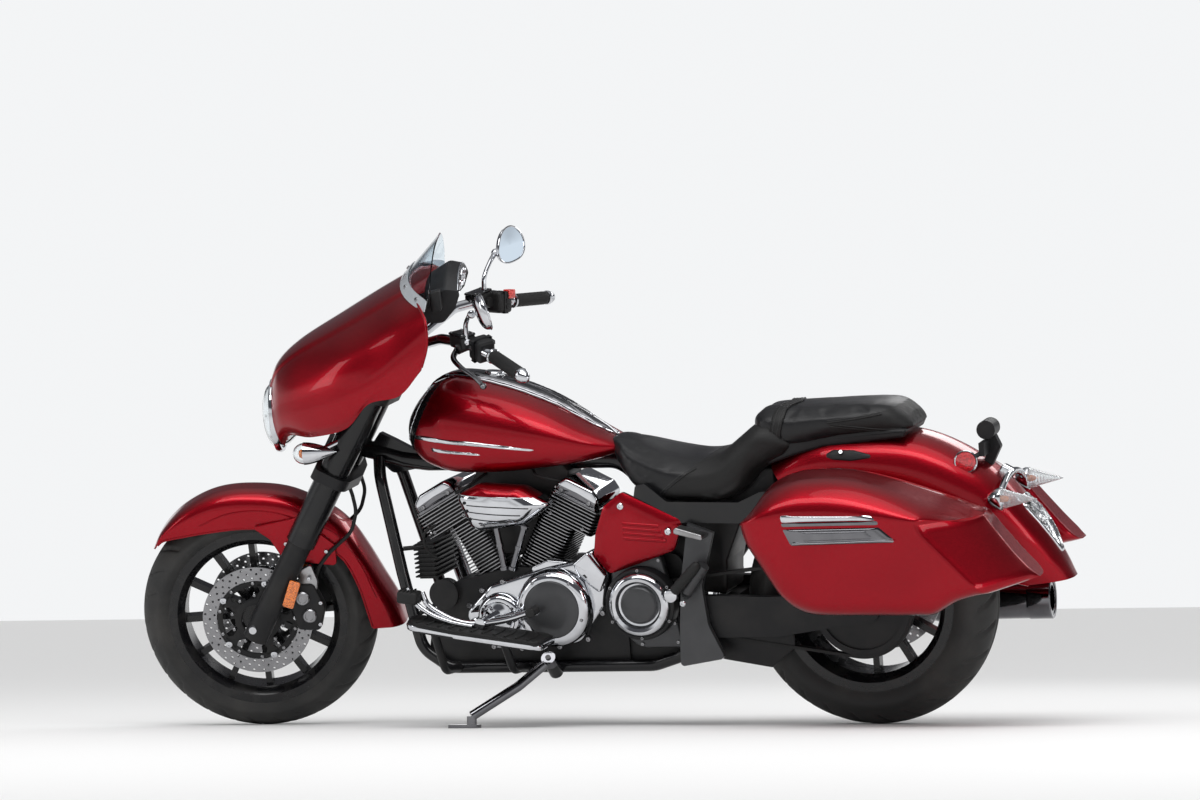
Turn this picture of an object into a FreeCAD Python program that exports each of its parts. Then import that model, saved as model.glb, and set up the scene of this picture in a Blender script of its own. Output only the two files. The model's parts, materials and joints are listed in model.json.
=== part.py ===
import FreeCAD, Part
import math
import os

# Touring cruiser motorcycle, millimetres.
# Every piece is drawn upright and steered straight ahead: X runs to the rear from the front axle,
# Y to the rider's right, Z up from the road. The parked pose then leans the whole machine to its
# left onto the side stand and turns the fork to the left.

# Stance
WHEELBASE = 1715.0
RAKE = 31.3
TRAIL = 152.0
LEAN = 11.0
STEER = 16.0
SLIM_GAP = 0.3

# Wheels
FRONT_RADIUS = 320.0
FRONT_HALF = 65.0
FRONT_CROWN = 66.0
FRONT_BEAD = 229.0
FRONT_RIM_HALF = 47.0
REAR_RADIUS = 330.0
REAR_HALF = 95.0
REAR_CROWN = 105.0
REAR_BEAD = 216.0
REAR_RIM_HALF = 76.0
RIM_LIP = 16.0
RIM_DEPTH = 26.0
SPOKES = 12
SPOKE_WIDTH = 17.0
HUB_RADIUS = 42.0
AXLE_RADIUS = 10.0
AXLE_FIT = 0.4
DISC_RADIUS = 149.0
DISC_BAND = 38.0
DISC_THICK = 5.0
DISC_Y = 66.0
REAR_DISC_RADIUS = 155.0
REAR_DISC_Y = 108.0
PULLEY_RADIUS = 128.0
PULLEY_WIDTH = 26.0
PULLEY_Y = -113.0
CALIPER_GAP = 5.5
HOSE_RADIUS = 5.0
HOSE_BEND = 70.0

# Fork and steering
FORK_OFFSET = 22.0
LEG_Y = 120.0
SLIDER_RADIUS = 33.0
SHROUD_RADIUS = 40.0
SLIDER_FOOT = 322.0
SLIDER_TOP = 624.0
SHROUD_TOP = 1122.0
LOWER_CLAMP = 830.0
UPPER_CLAMP = 1092.0
CLAMP_THICK = 30.0
STEM_RADIUS = 15.0
HEAD_RADIUS = 34.0
HEAD_PLAY = 0.6
BAR_RADIUS = 14.0
GRIP_RADIUS = 17.0

# Engine
CRANK_X = 762.0
CRANK_Z = 315.0
CYLINDER_LEAN = 28.0
CASE_HALF = 150.0
BARREL_RADIUS = 52.0
FIN_THICK = 3.4
FIN_PITCH = 9.0
HEAD_HALF = 96.0

# Frame
RAIL_RADIUS = 16.0
SPINE_RADIUS = 24.0
SPINE_Z = 716.0
RAIL_WIDTH = 24.0
STAND_RADIUS = 13.0
STAND_PIN = 7.0
PIN_FIT = 0.1

# Saddlebags
BAG_INNER_Y = 190.0
BAG_OUTER_Y = 430.0
BAG_WALL = 4.0
BAG_SEAM_Z = 604.0
BAG_SEAM_GAP = 1.0


def vec(x, y, z):
    return FreeCAD.Vector(x, y, z)


def rounded_edges(corners, lift):
    """Straight runs joined by tangent arcs round a closed outline.
    Each corner is (u, v) or (u, v, radius); lift turns (u, v) into a point in space."""
    edges = []
    stops = []
    count = len(corners)
    for i in range(count):
        here = corners[i]
        before = corners[i - 1]
        after = corners[(i + 1) % count]
        radius = here[2] if len(here) > 2 else 0.0
        if radius <= 0:
            stops.append((here[:2], None, here[:2]))
            continue
        ax, ay = before[0] - here[0], before[1] - here[1]
        bx, by = after[0] - here[0], after[1] - here[1]
        la, lb = math.hypot(ax, ay), math.hypot(bx, by)
        ax, ay, bx, by = ax / la, ay / la, bx / lb, by / lb
        half = math.acos(max(-1.0, min(1.0, ax * bx + ay * by))) / 2
        reach = radius / math.tan(half)
        mx, my = ax + bx, ay + by
        lm = math.hypot(mx, my)
        deep = radius / math.sin(half) - radius
        start = (here[0] + ax * reach, here[1] + ay * reach)
        end = (here[0] + bx * reach, here[1] + by * reach)
        middle = (here[0] + mx / lm * deep, here[1] + my / lm * deep)
        stops.append((start, middle, end))
    for i in range(count):
        start, middle, end = stops[i]
        if middle is not None:
            edges.append(Part.Arc(lift(*start), lift(*middle), lift(*end)).toShape())
        follow = stops[(i + 1) % count][0]
        if math.hypot(follow[0] - end[0], follow[1] - end[1]) > 0.01:
            edges.append(Part.makeLine(lift(*end), lift(*follow)))
    return edges


def slab(corners, y_from, y_to):
    """Side-view outline (X, Z[, corner radius]) carried across from y_from to y_to."""
    wire = Part.Wire(rounded_edges(corners, lambda x, z: vec(x, y_from, z)))
    return Part.Face(wire).extrude(vec(0, y_to - y_from, 0))


def plate(corners, z_from, z_to):
    """Plan outline (X, Y[, corner radius]) carried up from z_from to z_to."""
    wire = Part.Wire(rounded_edges(corners, lambda x, y: vec(x, y, z_from)))
    return Part.Face(wire).extrude(vec(0, 0, z_to - z_from))


def block(x0, x1, y0, y1, z0, z1):
    return Part.makeBox(x1 - x0, y1 - y0, z1 - z0, vec(x0, y0, z0))


def rod(start, end, radius):
    return Part.makeCylinder(radius, (end - start).Length, start, end - start)


def bent_path(points, bend):
    """Straight runs joined by tangent arcs of one bend radius, through a list of points."""
    edges = []
    last = points[0]
    for i in range(1, len(points) - 1):
        here = points[i]
        a = (points[i - 1] - here).normalize()
        b = (points[i + 1] - here).normalize()
        half = a.getAngle(b) / 2
        room = 0.48 * min((points[i - 1] - here).Length, (points[i + 1] - here).Length)
        reach = min(bend / math.tan(half), room)
        radius = reach * math.tan(half)
        middle = (a + b).normalize() * (radius / math.sin(half) - radius)
        start, end = here + a * reach, here + b * reach
        if (start - last).Length > 0.01:
            edges.append(Part.makeLine(last, start))
        edges.append(Part.Arc(start, here + middle, end).toShape())
        last = end
    edges.append(Part.makeLine(last, points[-1]))
    return Part.Wire(edges)


def tube(points, radius, bend):
    """Round bar along a bent path."""
    path = bent_path(points, bend)
    ring = Part.makeCircle(radius, points[0], points[1] - points[0])
    return path.makePipeShell([Part.Wire(ring)], True, False)


def spin(outline, start, axis, angle=360.0):
    """Turn a closed outline, given as edges, round an axis."""
    face = Part.Face(Part.Wire(outline))
    return face.revolve(start, axis, angle)


def lathe(profile, centre, axis_x):
    """Solid of revolution along X: profile rows are (x along, radius), from the axis out and back."""
    points = [vec(centre.x + axis_x * x, centre.y, centre.z + r) for x, r in profile]
    return Part.Face(Part.makePolygon(points + [points[0]])).revolve(centre, vec(1, 0, 0), 360)


def mirrored(shape):
    return shape.mirror(vec(0, 0, 0), vec(0, 1, 0))


def both_sides(shape):
    return Part.makeCompound([shape, mirrored(shape)])


def joined(shapes):
    result = shapes[0].fuse(shapes[1:]) if len(shapes) > 1 else shapes[0]
    return result.removeSplitter()


def largest(shape):
    """The biggest solid of a cut that may leave slivers."""
    return max(shape.Solids, key=lambda solid: solid.Volume)


def loft(wires):
    return Part.makeLoft(wires, True, False)


def hump(lift, half, base_half, low, high, shoulder):
    """Closed section with a flat base and a rounded back.
    The sides rise from (base_half, low) through (half, middle) to the shoulder, a share of the
    half width and of the height, and one arc crowns the top."""
    rise = high - low
    sx, sz = half * shoulder[0], low + rise * shoulder[1]
    mx, mz = half, low + rise * shoulder[1] * 0.5
    left = Part.Arc(lift(-base_half, low), lift(-mx, mz), lift(-sx, sz)).toShape()
    crown = Part.Arc(lift(-sx, sz), lift(0, high), lift(sx, sz)).toShape()
    right = Part.Arc(lift(sx, sz), lift(mx, mz), lift(base_half, low)).toShape()
    floor = Part.makeLine(lift(base_half, low), lift(-base_half, low))
    return Part.Wire([left, crown, right, floor])


def arch(lift, half, base_half, low, high, wall, shoulder):
    """Section of a shell, open below: the hump's back outside and the same back one wall inside."""
    def back(shrink):
        rise = high - low
        sx, sz = (half - shrink) * shoulder[0], low + rise * shoulder[1] - shrink * shoulder[1]
        mx, mz = half - shrink, low + rise * shoulder[1] * 0.5
        return [(-(base_half - shrink), low), (-mx, mz), (-sx, sz), (0, high - shrink),
                (sx, sz), (mx, mz), (base_half - shrink, low)]
    outer = [lift(*p) for p in back(0.0)]
    inner = [lift(*p) for p in back(wall)]
    edges = []
    for k in (0, 2, 4):
        edges.append(Part.Arc(outer[k], outer[k + 1], outer[k + 2]).toShape())
    edges.append(Part.makeLine(outer[6], inner[6]))
    for k in (6, 4, 2):
        edges.append(Part.Arc(inner[k], inner[k - 1], inner[k - 2]).toShape())
    edges.append(Part.makeLine(inner[0], outer[0]))
    return Part.Wire(edges)


# Steering axis: along LINE, through ROAD_POINT where it meets the road
SIN_RAKE = math.sin(math.radians(RAKE))
COS_RAKE = math.cos(math.radians(RAKE))
LINE = vec(SIN_RAKE, 0, COS_RAKE)
BEHIND = vec(COS_RAKE, 0, -SIN_RAKE)
ROAD_POINT = vec(-TRAIL, 0, 0)


def on_fork(along, behind, y):
    """Point given along the steering axis, square behind it and across."""
    return ROAD_POINT + LINE * along + BEHIND * behind + vec(0, y, 0)


def fork_slab(corners, along_from, along_to):
    """Outline square to the steering axis (behind, Y[, radius]), carried along it."""
    wire = Part.Wire(rounded_edges(corners, lambda b, y: on_fork(along_from, b, y)))
    return Part.Face(wire).extrude(LINE * (along_to - along_from))


# Widest half of the rear fender; the seat rails run just outside it
TAIL_HALF = 142.0
RAIL_OUT_Y = TAIL_HALF + SLIM_GAP + RAIL_WIDTH
STAND_PIVOT = vec(884, -190, 214)
STAND_AXIS = vec(0.03, -0.77, 0.64).normalize()
STAND_EYE_HALF = 14.0
FRONT_AXLE = vec(0, 0, FRONT_RADIUS)
REAR_AXLE = vec(WHEELBASE, 0, REAR_RADIUS)


# Wheels

def tyre(centre, radius, half, crown, bead, rim_half):
    """Crowned tyre: one arc across the tread, bulged walls down to the beads, solid inside."""
    shoulder = half * 0.93
    shoulder_r = radius - crown + math.sqrt(crown ** 2 - shoulder ** 2)
    neck = bead + RIM_LIP
    wall_r = (shoulder_r + neck) / 2

    def at(y, r):
        return vec(centre.x, centre.y + y, centre.z + r)
    edges = [
        Part.Arc(at(-shoulder, shoulder_r), at(0, radius), at(shoulder, shoulder_r)).toShape(),
        Part.Arc(at(shoulder, shoulder_r), at(half, wall_r), at(rim_half - 0.5, neck)).toShape(),
        Part.makeLine(at(rim_half - 0.5, neck), at(rim_half - 0.5, bead)),
        Part.makeLine(at(rim_half - 0.5, bead), at(0.5 - rim_half, bead)),
        Part.makeLine(at(0.5 - rim_half, bead), at(0.5 - rim_half, neck)),
        Part.Arc(at(0.5 - rim_half, neck), at(-half, wall_r), at(-shoulder, shoulder_r)).toShape(),
    ]
    return spin(edges, centre, vec(0, 1, 0))


def ring(centre, y0, y1, r_in, r_out):
    outer = Part.makeCylinder(r_out, y1 - y0, centre + vec(0, y0, 0), vec(0, 1, 0))
    inner = Part.makeCylinder(r_in, y1 - y0 + 2, centre + vec(0, y0 - 1, 0), vec(0, 1, 0))
    return outer.cut(inner)


def cast_wheel(centre, bead, rim_half, hub_half):
    """Cast wheel: rim with raised lips, slender spokes and a bored hub."""
    well = bead - RIM_DEPTH

    def at(y, r):
        return vec(centre.x, centre.y + y, centre.z + r)
    lip = rim_half + 6
    profile = [at(-lip, bead + RIM_LIP - 1), at(-rim_half, bead + RIM_LIP - 1), at(-rim_half, bead - 0.3),
               at(rim_half, bead - 0.3), at(rim_half, bead + RIM_LIP - 1), at(lip, bead + RIM_LIP - 1),
               at(lip - 2, bead - 8), at(lip * 0.6, well), at(-lip * 0.6, well), at(2 - lip, bead - 8)]
    rim = Part.Face(Part.makePolygon(profile + [profile[0]])).revolve(centre, vec(0, 1, 0), 360)
    hub = Part.makeCylinder(HUB_RADIUS, 2 * hub_half, centre + vec(0, -hub_half, 0), vec(0, 1, 0))
    pieces = [hub]
    for k in range(SPOKES):
        spoke = block(centre.x - SPOKE_WIDTH / 2, centre.x + SPOKE_WIDTH / 2, -SPOKE_WIDTH, SPOKE_WIDTH,
                      centre.z + HUB_RADIUS - 8, centre.z + well + 6)
        spoke.rotate(centre, vec(0, 1, 0), 360.0 / SPOKES * k)
        pieces.append(spoke)
    wheel = rim.fuse(pieces)
    bore = Part.makeCylinder(AXLE_RADIUS + AXLE_FIT, 2 * hub_half + 2,
                             centre + vec(0, -hub_half - 1, 0), vec(0, 1, 0))
    return wheel.cut(bore).removeSplitter()


FRONT_HUB_HALF = 58.0
REAR_HUB_HALF = 94.0


def front_tyre():
    return tyre(FRONT_AXLE, FRONT_RADIUS, FRONT_HALF, FRONT_CROWN, FRONT_BEAD, FRONT_RIM_HALF)


def front_wheel():
    return cast_wheel(FRONT_AXLE, FRONT_BEAD, FRONT_RIM_HALF, FRONT_HUB_HALF)


def front_disc(side):
    """Brake disc with its carrier, bolted on the end of the hub."""
    y0 = side * DISC_Y - DISC_THICK / 2
    band = ring(FRONT_AXLE, y0, y0 + DISC_THICK, DISC_RADIUS - DISC_BAND, DISC_RADIUS)
    arms = []
    for k in range(8):
        arm = block(-8, 8, y0, y0 + DISC_THICK, FRONT_RADIUS + 50, FRONT_RADIUS + DISC_RADIUS - DISC_BAND + 6)
        arm.rotate(FRONT_AXLE, vec(0, 1, 0), 45 * k)
        arms.append(arm)
    inside = side * (FRONT_HUB_HALF + SLIM_GAP)
    outside = side * (DISC_Y + DISC_THICK / 2)
    core = ring(FRONT_AXLE, min(inside, outside), max(inside, outside), HUB_RADIUS - 16, HUB_RADIUS + 14)
    return band.fuse(arms + [core]).removeSplitter()


def front_discs():
    return Part.makeCompound([front_disc(-1), front_disc(1)])


def rear_tyre():
    return tyre(REAR_AXLE, REAR_RADIUS, REAR_HALF, REAR_CROWN, REAR_BEAD, REAR_RIM_HALF)


def rear_wheel():
    return cast_wheel(REAR_AXLE, REAR_BEAD, REAR_RIM_HALF, REAR_HUB_HALF)


def rear_disc():
    y0 = REAR_DISC_Y - DISC_THICK / 2
    band = ring(REAR_AXLE, y0, y0 + DISC_THICK, 62, REAR_DISC_RADIUS)
    core = ring(REAR_AXLE, REAR_HUB_HALF + SLIM_GAP, REAR_DISC_Y + DISC_THICK / 2, HUB_RADIUS - 16, 70)
    return band.fuse(core).removeSplitter()


def rear_pulley():
    half = PULLEY_WIDTH / 2
    rim = ring(REAR_AXLE, PULLEY_Y - half, PULLEY_Y + half, PULLEY_RADIUS - 16, PULLEY_RADIUS)
    web = ring(REAR_AXLE, PULLEY_Y - 5, PULLEY_Y + 5, HUB_RADIUS - 4, PULLEY_RADIUS - 10)
    core = ring(REAR_AXLE, PULLEY_Y - half, -REAR_HUB_HALF - SLIM_GAP, HUB_RADIUS - 16, HUB_RADIUS + 8)
    return rim.fuse([web, core]).removeSplitter()


# Fork

def fork_sliders():
    leg = rod(on_fork(SLIDER_FOOT, -FORK_OFFSET, -LEG_Y), on_fork(SLIDER_TOP, -FORK_OFFSET, -LEG_Y), SLIDER_RADIUS)
    axle_bore = rod(FRONT_AXLE + vec(0, -LEG_Y - 60, 0), FRONT_AXLE + vec(0, -LEG_Y + 60, 0), AXLE_RADIUS + 0.1)
    boss = rod(on_fork(585, -FORK_OFFSET - 4, -LEG_Y), on_fork(585, -FORK_OFFSET - 4, -FENDER_HALF - SLIM_GAP), 14)
    return both_sides(leg.fuse(boss).cut(axle_bore).removeSplitter())


def fork_shrouds():
    leg = rod(on_fork(SLIDER_TOP + 0.3, -FORK_OFFSET, -LEG_Y), on_fork(SHROUD_TOP, -FORK_OFFSET, -LEG_Y),
              SHROUD_RADIUS)
    return both_sides(leg)


def front_axle():
    half = LEG_Y + SLIDER_RADIUS + 4
    return rod(FRONT_AXLE + vec(0, -half, 0), FRONT_AXLE + vec(0, half, 0), AXLE_RADIUS)


def triple_clamps():
    """Two bridges square to the steering axis and the stem that turns in the head tube."""
    reach = LEG_Y + SHROUD_RADIUS + 12
    bridge = [(-FORK_OFFSET - 52, -reach, 20), (-FORK_OFFSET - 52, reach, 20),
              (20, reach, 40), (52, 46, 30), (52, -46, 30), (20, -reach, 40)]
    half = CLAMP_THICK / 2
    lower = fork_slab(bridge, LOWER_CLAMP - half, LOWER_CLAMP + half)
    upper = fork_slab(bridge, UPPER_CLAMP - half, UPPER_CLAMP + half)
    stem = rod(on_fork(LOWER_CLAMP, 0, 0), on_fork(UPPER_CLAMP, 0, 0), STEM_RADIUS)
    clamps = lower.fuse([upper, stem])
    legs = [rod(on_fork(SLIDER_TOP, -FORK_OFFSET, y), on_fork(SHROUD_TOP + 40, -FORK_OFFSET, y), SHROUD_RADIUS)
            for y in (-LEG_Y, LEG_Y)]
    risers = []
    for y in (-52, 52):
        risers.append(rod(on_fork(UPPER_CLAMP + half - 1, 4, y), RISER_TOP + vec(0, y, 0), 15))
    return clamps.cut(Part.makeCompound(legs)).fuse(risers).cut(handlebar()).removeSplitter()


# Front fender: one wall round an arc about the front axle, with deep sides

FENDER_RADIUS = 357.0
FENDER_WALL = 4.0
FENDER_HALF = LEG_Y - SHROUD_RADIUS - SLIM_GAP


def front_fender():
    def at(y, r):
        return vec(FRONT_AXLE.x + r, y, FRONT_AXLE.z)
    half, wall = FENDER_HALF, FENDER_WALL
    skirt, turn = 258.0, 318.0
    edges = [
        Part.makeLine(at(-half, skirt), at(-half, turn)),
        Part.Arc(at(-half, turn), at(0, FENDER_RADIUS), at(half, turn)).toShape(),
        Part.makeLine(at(half, turn), at(half, skirt)),
        Part.makeLine(at(half, skirt), at(half - wall, skirt)),
        Part.makeLine(at(half - wall, skirt), at(half - wall, turn)),
        Part.Arc(at(half - wall, turn), at(0, FENDER_RADIUS - wall), at(wall - half, turn)).toShape(),
        Part.makeLine(at(wall - half, turn), at(wall - half, skirt)),
        Part.makeLine(at(wall - half, skirt), at(-half, skirt)),
    ]
    hoop = spin(edges, FRONT_AXLE, vec(0, -1, 0), 158.0)
    hoop.rotate(FRONT_AXLE, vec(0, -1, 0), -14.0)
    keep = slab([(-300, 538), (-232, 552), (-122, 577, 300), (-13, 582, 200), (60, 582, 160), (125, 560, 160),
                 (190, 524, 160), (259, 470, 200), (292, 370, 200), (303, 262), (420, 262), (420, 760),
                 (-300, 760)], -120, 120)
    return hoop.common(keep)


# Handlebar, fairing and what rides with the fork

RISER_TOP = vec(514, 0, 1040)
# Right half of the bar, from the middle out: X, Y, Z
BAR_POINTS = [(514, 0, 1040), (520, 62, 1042), (600, 158, 1080), (668, 216, 1079), (742, 278, 1056),
              (831, 398, 1026)]
GRIP_IN = vec(742, 278, 1056)
GRIP_OUT = vec(831, 398, 1026)


def handlebar():
    right = [vec(*row) for row in BAR_POINTS]
    left = [vec(p.x, -p.y, p.z) for p in reversed(right[1:])]
    return tube(left + right[1:], BAR_RADIUS, 60)


def grips():
    sleeve = rod(GRIP_IN, GRIP_OUT + (GRIP_OUT - GRIP_IN) * 0.03, GRIP_RADIUS)
    return both_sides(sleeve.cut(handlebar()))


def bar_controls(side):
    """Switch box round the bar, reservoir or perch ahead of it and the hand lever."""
    along = (GRIP_OUT - GRIP_IN).normalize()
    near = GRIP_IN - along * 1.0
    box_end = near - along * 62
    body = rod(near, box_end, 27)
    ahead = vec(-0.86, 0.45, 0.2)
    perch = rod(box_end + along * 16, box_end + along * 16 + ahead * 58, 15)
    well = Part.makeCylinder(24, 34, box_end + ahead * 52 + vec(-14, -8, -6), vec(0.1, 0, 1))
    pivot = box_end + along * 16 + ahead * 54
    lever = tube([pivot, pivot + along * 70 + ahead * 22, pivot + along * 190 + ahead * 14], 6.5, 30)
    shape = body.fuse([perch, well, lever]).cut(handlebar()).removeSplitter()
    return shape if side > 0 else mirrored(shape)


def all_bar_controls():
    return Part.makeCompound([bar_controls(-1), bar_controls(1)])


MIRROR_CENTRE = vec(742, 352, 1180)
# How far each mirror's glass is turned in from straight back: side, degrees
MIRROR_TOE = {-1: 16.0, 1: 34.0}


def mirror(side):
    """Teardrop mirror on a bent stem from the bar's perch."""
    foot = vec(676, 238, 1092)
    stem = tube([foot, vec(680, 262, 1140), vec(702, 306, 1168), MIRROR_CENTRE], 6, 24)
    toe = math.radians(MIRROR_TOE[side])
    normal = vec(math.cos(toe), -math.sin(toe), 0.18).normalize()
    across = vec(math.sin(toe), math.cos(toe), 0)
    upward = normal.cross(across).normalize()
    outline = [(-62, -24, 22), (-28, -44, 26), (44, -40, 30), (66, 0, 30), (34, 52, 34), (-20, 44, 40)]

    def lift(u, v):
        return MIRROR_CENTRE - normal * 9 + across * u + upward * v
    head = Part.Face(Part.Wire(rounded_edges(outline, lift))).extrude(normal * 18)
    shape = stem.fuse(head).cut(bar_controls(1)).removeSplitter()
    shape = largest(shape)
    return shape if side > 0 else mirrored(shape)


def mirrors():
    return Part.makeCompound([mirror(-1), mirror(1)])


# Fairing sections along X: x, half width, low edge, top
FAIRING_ROWS = [
    (118, 94, 796, 966),
    (158, 138, 838, 1030),
    (232, 196, 866, 1078),
    (330, 246, 902, 1128),
    (430, 274, 938, 1178),
    (510, 286, 976, 1214),
    (584, 291, 1084, 1246),
]
FAIRING_WALL = 5.0


def fairing():
    """Handlebar fairing: a thin cowl, open behind and below, as a loft of arches."""
    wires = []
    for x, half, low, high in FAIRING_ROWS:
        wires.append(arch(lambda y, z, x=x: vec(x, y, z), half, half * 0.94, low, high, FAIRING_WALL,
                          (0.66, 0.74)))
    return loft(wires)


def windshield():
    """Short curved screen that stands on the fairing's upper edge and leans back."""
    def band(half, x_mid, z_mid, x_end, z_end, thick):
        outer = [vec(x_end, -half, z_end), vec(x_mid, 0, z_mid), vec(x_end, half, z_end)]
        slip = (outer[0] + outer[2]) * 0.5 - outer[1]
        slip = slip.normalize() * thick
        inner = [outer[0] + vec(0, thick, 0), outer[1] + slip, outer[2] - vec(0, thick, 0)]
        return Part.Wire([
            Part.Arc(*outer).toShape(), Part.makeLine(outer[2], inner[2]),
            Part.Arc(inner[2], inner[1], inner[0]).toShape(), Part.makeLine(inner[0], outer[0])])
    return loft([band(232, 508, 1221, 590, 1196, 5), band(168, 600, 1324, 648, 1268, 5)]).cut(fairing())


def hood_block():
    return slab([(548, 1120), (604, 1112, 20), (640, 1178, 20), (656, 1250, 10), (620, 1262, 16),
                 (560, 1226, 20)], -118, 118)


def instrument_hood():
    """Instrument block and the black stay that carries it, the cowl and the lamp from the clamps."""
    bar = rod(vec(330, -270, 1000), vec(330, 270, 1000), 9)
    arms = [block(326, 420, y - 6, y + 6, 985, 1010) for y in (-50, 50)]
    strut = tube([vec(330, 0, 1000), vec(262, 0, 980), vec(214, 0, 900)], 9, 30)
    dash = [tube([vec(330, y, 1000), vec(440, y * 0.9, 1100), vec(556, y * 0.8, 1150)], 7, 40)
            for y in (-110, 110)]
    stay = hood_block().fuse([bar] + arms + [strut] + dash)
    for solid in [fairing(), triple_clamps(), headlight()] + fork_shrouds().Solids:
        stay = stay.cut(solid)
    return largest(stay)


LAMP_CENTRE = vec(128, 0, 868)
LAMP_RADIUS = 84.0


def headlight():
    """Lamp with a bright bowl tapering back and a clear lens, a cap of a sphere."""
    bowl = lathe([(0, 0), (0, LAMP_RADIUS + 3), (18, LAMP_RADIUS + 3), (66, 62), (90, 30), (90, 0)], LAMP_CENTRE, 1)
    depth = 40.0
    r = LAMP_RADIUS
    ball = (r * r + depth * depth) / (2 * depth)
    sphere = Part.makeSphere(ball, LAMP_CENTRE + vec(ball - depth, 0, 0))
    keep = Part.makeCylinder(r, depth + 20, LAMP_CENTRE + vec(-depth - 20, 0, 0), vec(1, 0, 0))
    return bowl.fuse(sphere.common(keep))


def front_indicators():
    """Bullet lamps with a domed front lens, each on a short stem from the fork cover."""
    centre = vec(206, -168, 801)
    body = lathe([(-46, 0), (-44, 14), (-34, 27), (-24, 33), (0, 34), (30, 26), (60, 12), (78, 3), (80, 0)],
                 centre, 1)
    stem = rod(centre + vec(30, 0, 2), on_fork(945, -FORK_OFFSET, -LEG_Y), 8)
    return both_sides(body.fuse(stem).cut(fork_shrouds()).removeSplitter())


def front_calipers():
    """Four-piston bodies behind the legs, straddling the disc, with a lug to the slider."""
    body = slab([(118, 300, 12), (176, 292, 16), (196, 356, 16), (172, 424, 16), (132, 426, 12), (104, 366, 10)],
                -DISC_Y - 32, -DISC_Y + 26)
    slot = Part.makeCylinder(DISC_RADIUS + 6, DISC_THICK + 2 * CALIPER_GAP,
                             FRONT_AXLE + vec(0, -DISC_Y - DISC_THICK / 2 - CALIPER_GAP, 0), vec(0, 1, 0))
    lug = slab([(70, 392, 6), (112, 368), (150, 396), (96, 430, 8)], -LEG_Y - 6, -DISC_Y - 18)
    shape = body.fuse(lug).cut(slot).cut(fork_sliders())
    return both_sides(largest(shape))


def brake_hoses():
    """Hose on each side from under the lower bridge, in a bow behind the leg, to the caliper's top."""
    path = [on_fork(LOWER_CLAMP - CLAMP_THICK / 2 + 3, 26, -84), vec(303, -90, 655), vec(309, -97, 612),
            vec(290, -98, 556), vec(226, -98, 505), vec(190, -95, 466), vec(178, -86, 438), vec(166, -84, 412)]
    hose = tube(path, HOSE_RADIUS, HOSE_BEND)
    return both_sides(largest(hose.cut(triple_clamps()).cut(front_calipers())))


# Frame

HEAD_LOW = LOWER_CLAMP + CLAMP_THICK / 2 + 6
HEAD_HIGH = UPPER_CLAMP - CLAMP_THICK / 2 - 6


def spine_tube(radius):
    return tube([on_fork(HEAD_LOW + 45, 0, 0), vec(450, 0, SPINE_Z + 10), vec(520, 0, SPINE_Z),
                 vec(1060, 0, SPINE_Z - 6), vec(1130, 0, 640), vec(1166, 0, 560), vec(1196, 0, 480)], radius, 90)


def frame_spine():
    """Head tube, the backbone that runs back under the tank and the rails beside the seat."""
    head = rod(on_fork(HEAD_LOW, 0, 0), on_fork(HEAD_HIGH, 0, 0), HEAD_RADIUS)
    gusset = slab([(390, 800), (352, 752), (420, 690, 20), (560, SPINE_Z - 6), (430, 780, 20)], -12, 12)
    cross = rod(vec(1166, -RAIL_OUT_Y + 4, 640), vec(1166, RAIL_OUT_Y - 4, 640), 12)
    bore = rod(on_fork(HEAD_LOW - 5, 0, 0), on_fork(HEAD_HIGH + 5, 0, 0), STEM_RADIUS + HEAD_PLAY)
    frame = head.fuse([spine_tube(SPINE_RADIUS), gusset, cross] + seat_rails().Solids)
    for other in (bore, engine_case(), rider_seat(), rear_fender()):
        frame = frame.cut(other)
    return largest(frame).removeSplitter()


def frame_cradle(side):
    """One side of the double cradle: down tube, lower rail and rise to the pivot plate."""
    y = side
    points = [vec(392, 34 * y, 730), vec(408, 78 * y, 690), vec(462, 112 * y, 440), vec(506, 120 * y, 235),
              vec(580, 122 * y, 184), vec(1150, 122 * y, 184), vec(1240, 138 * y, 214), vec(1268, 142 * y, 268)]
    return tube(points, RAIL_RADIUS, 70)


def stand_lug():
    """Lug and pivot pin for the stand, square to the stand's axis, on the left lower rail."""
    face = STAND_PIVOT - STAND_AXIS * (STAND_EYE_HALF + SLIM_GAP)
    lug = rod(STAND_PIVOT - STAND_AXIS * 66, face, 19)
    pin = rod(STAND_PIVOT - STAND_AXIS * 40, STAND_PIVOT + STAND_AXIS * (STAND_EYE_HALF + 4), STAND_PIN)
    return lug.fuse(pin)


def frame_cradles():
    left = frame_cradle(-1).fuse(stand_lug()).cut(frame_spine()).removeSplitter()
    return Part.makeCompound([left, frame_cradle(1).cut(frame_spine())])


def seat_rails():
    rail = slab([(1146, 664, 8), (1172, 668, 8), (1228, 620, 20), (1420, 614, 6), (1480, 640, 20), (1870, 640),
                 (1870, 610), (1480, 604, 20), (1420, 560, 6), (1210, 566, 16), (1140, 634, 8)],
                -RAIL_OUT_Y, -RAIL_OUT_Y + RAIL_WIDTH)
    return both_sides(rail)


def pivot_plate(side):
    """Dark plate that carries the swingarm pivot and the folded passenger peg."""
    shape = slab([(1286, 566), (1352, 540), (1312, 400, 60), (1322, 300, 60), (1362, 212, 10), (1240, 192, 10),
                  (1246, 300, 60), (1258, 420, 60)], -186, -RAIL_OUT_Y - SLIM_GAP)
    bar = rod(vec(1276, -206, 392), vec(1330, -214, 462), 17)
    foot = rod(vec(1268, -180, 378), vec(1276, -206, 392), 12)
    shape = shape.fuse([bar, foot]).removeSplitter()
    return shape if side < 0 else mirrored(shape)


def pivot_plates():
    return Part.makeCompound([pivot_plate(-1), pivot_plate(1)])


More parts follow.
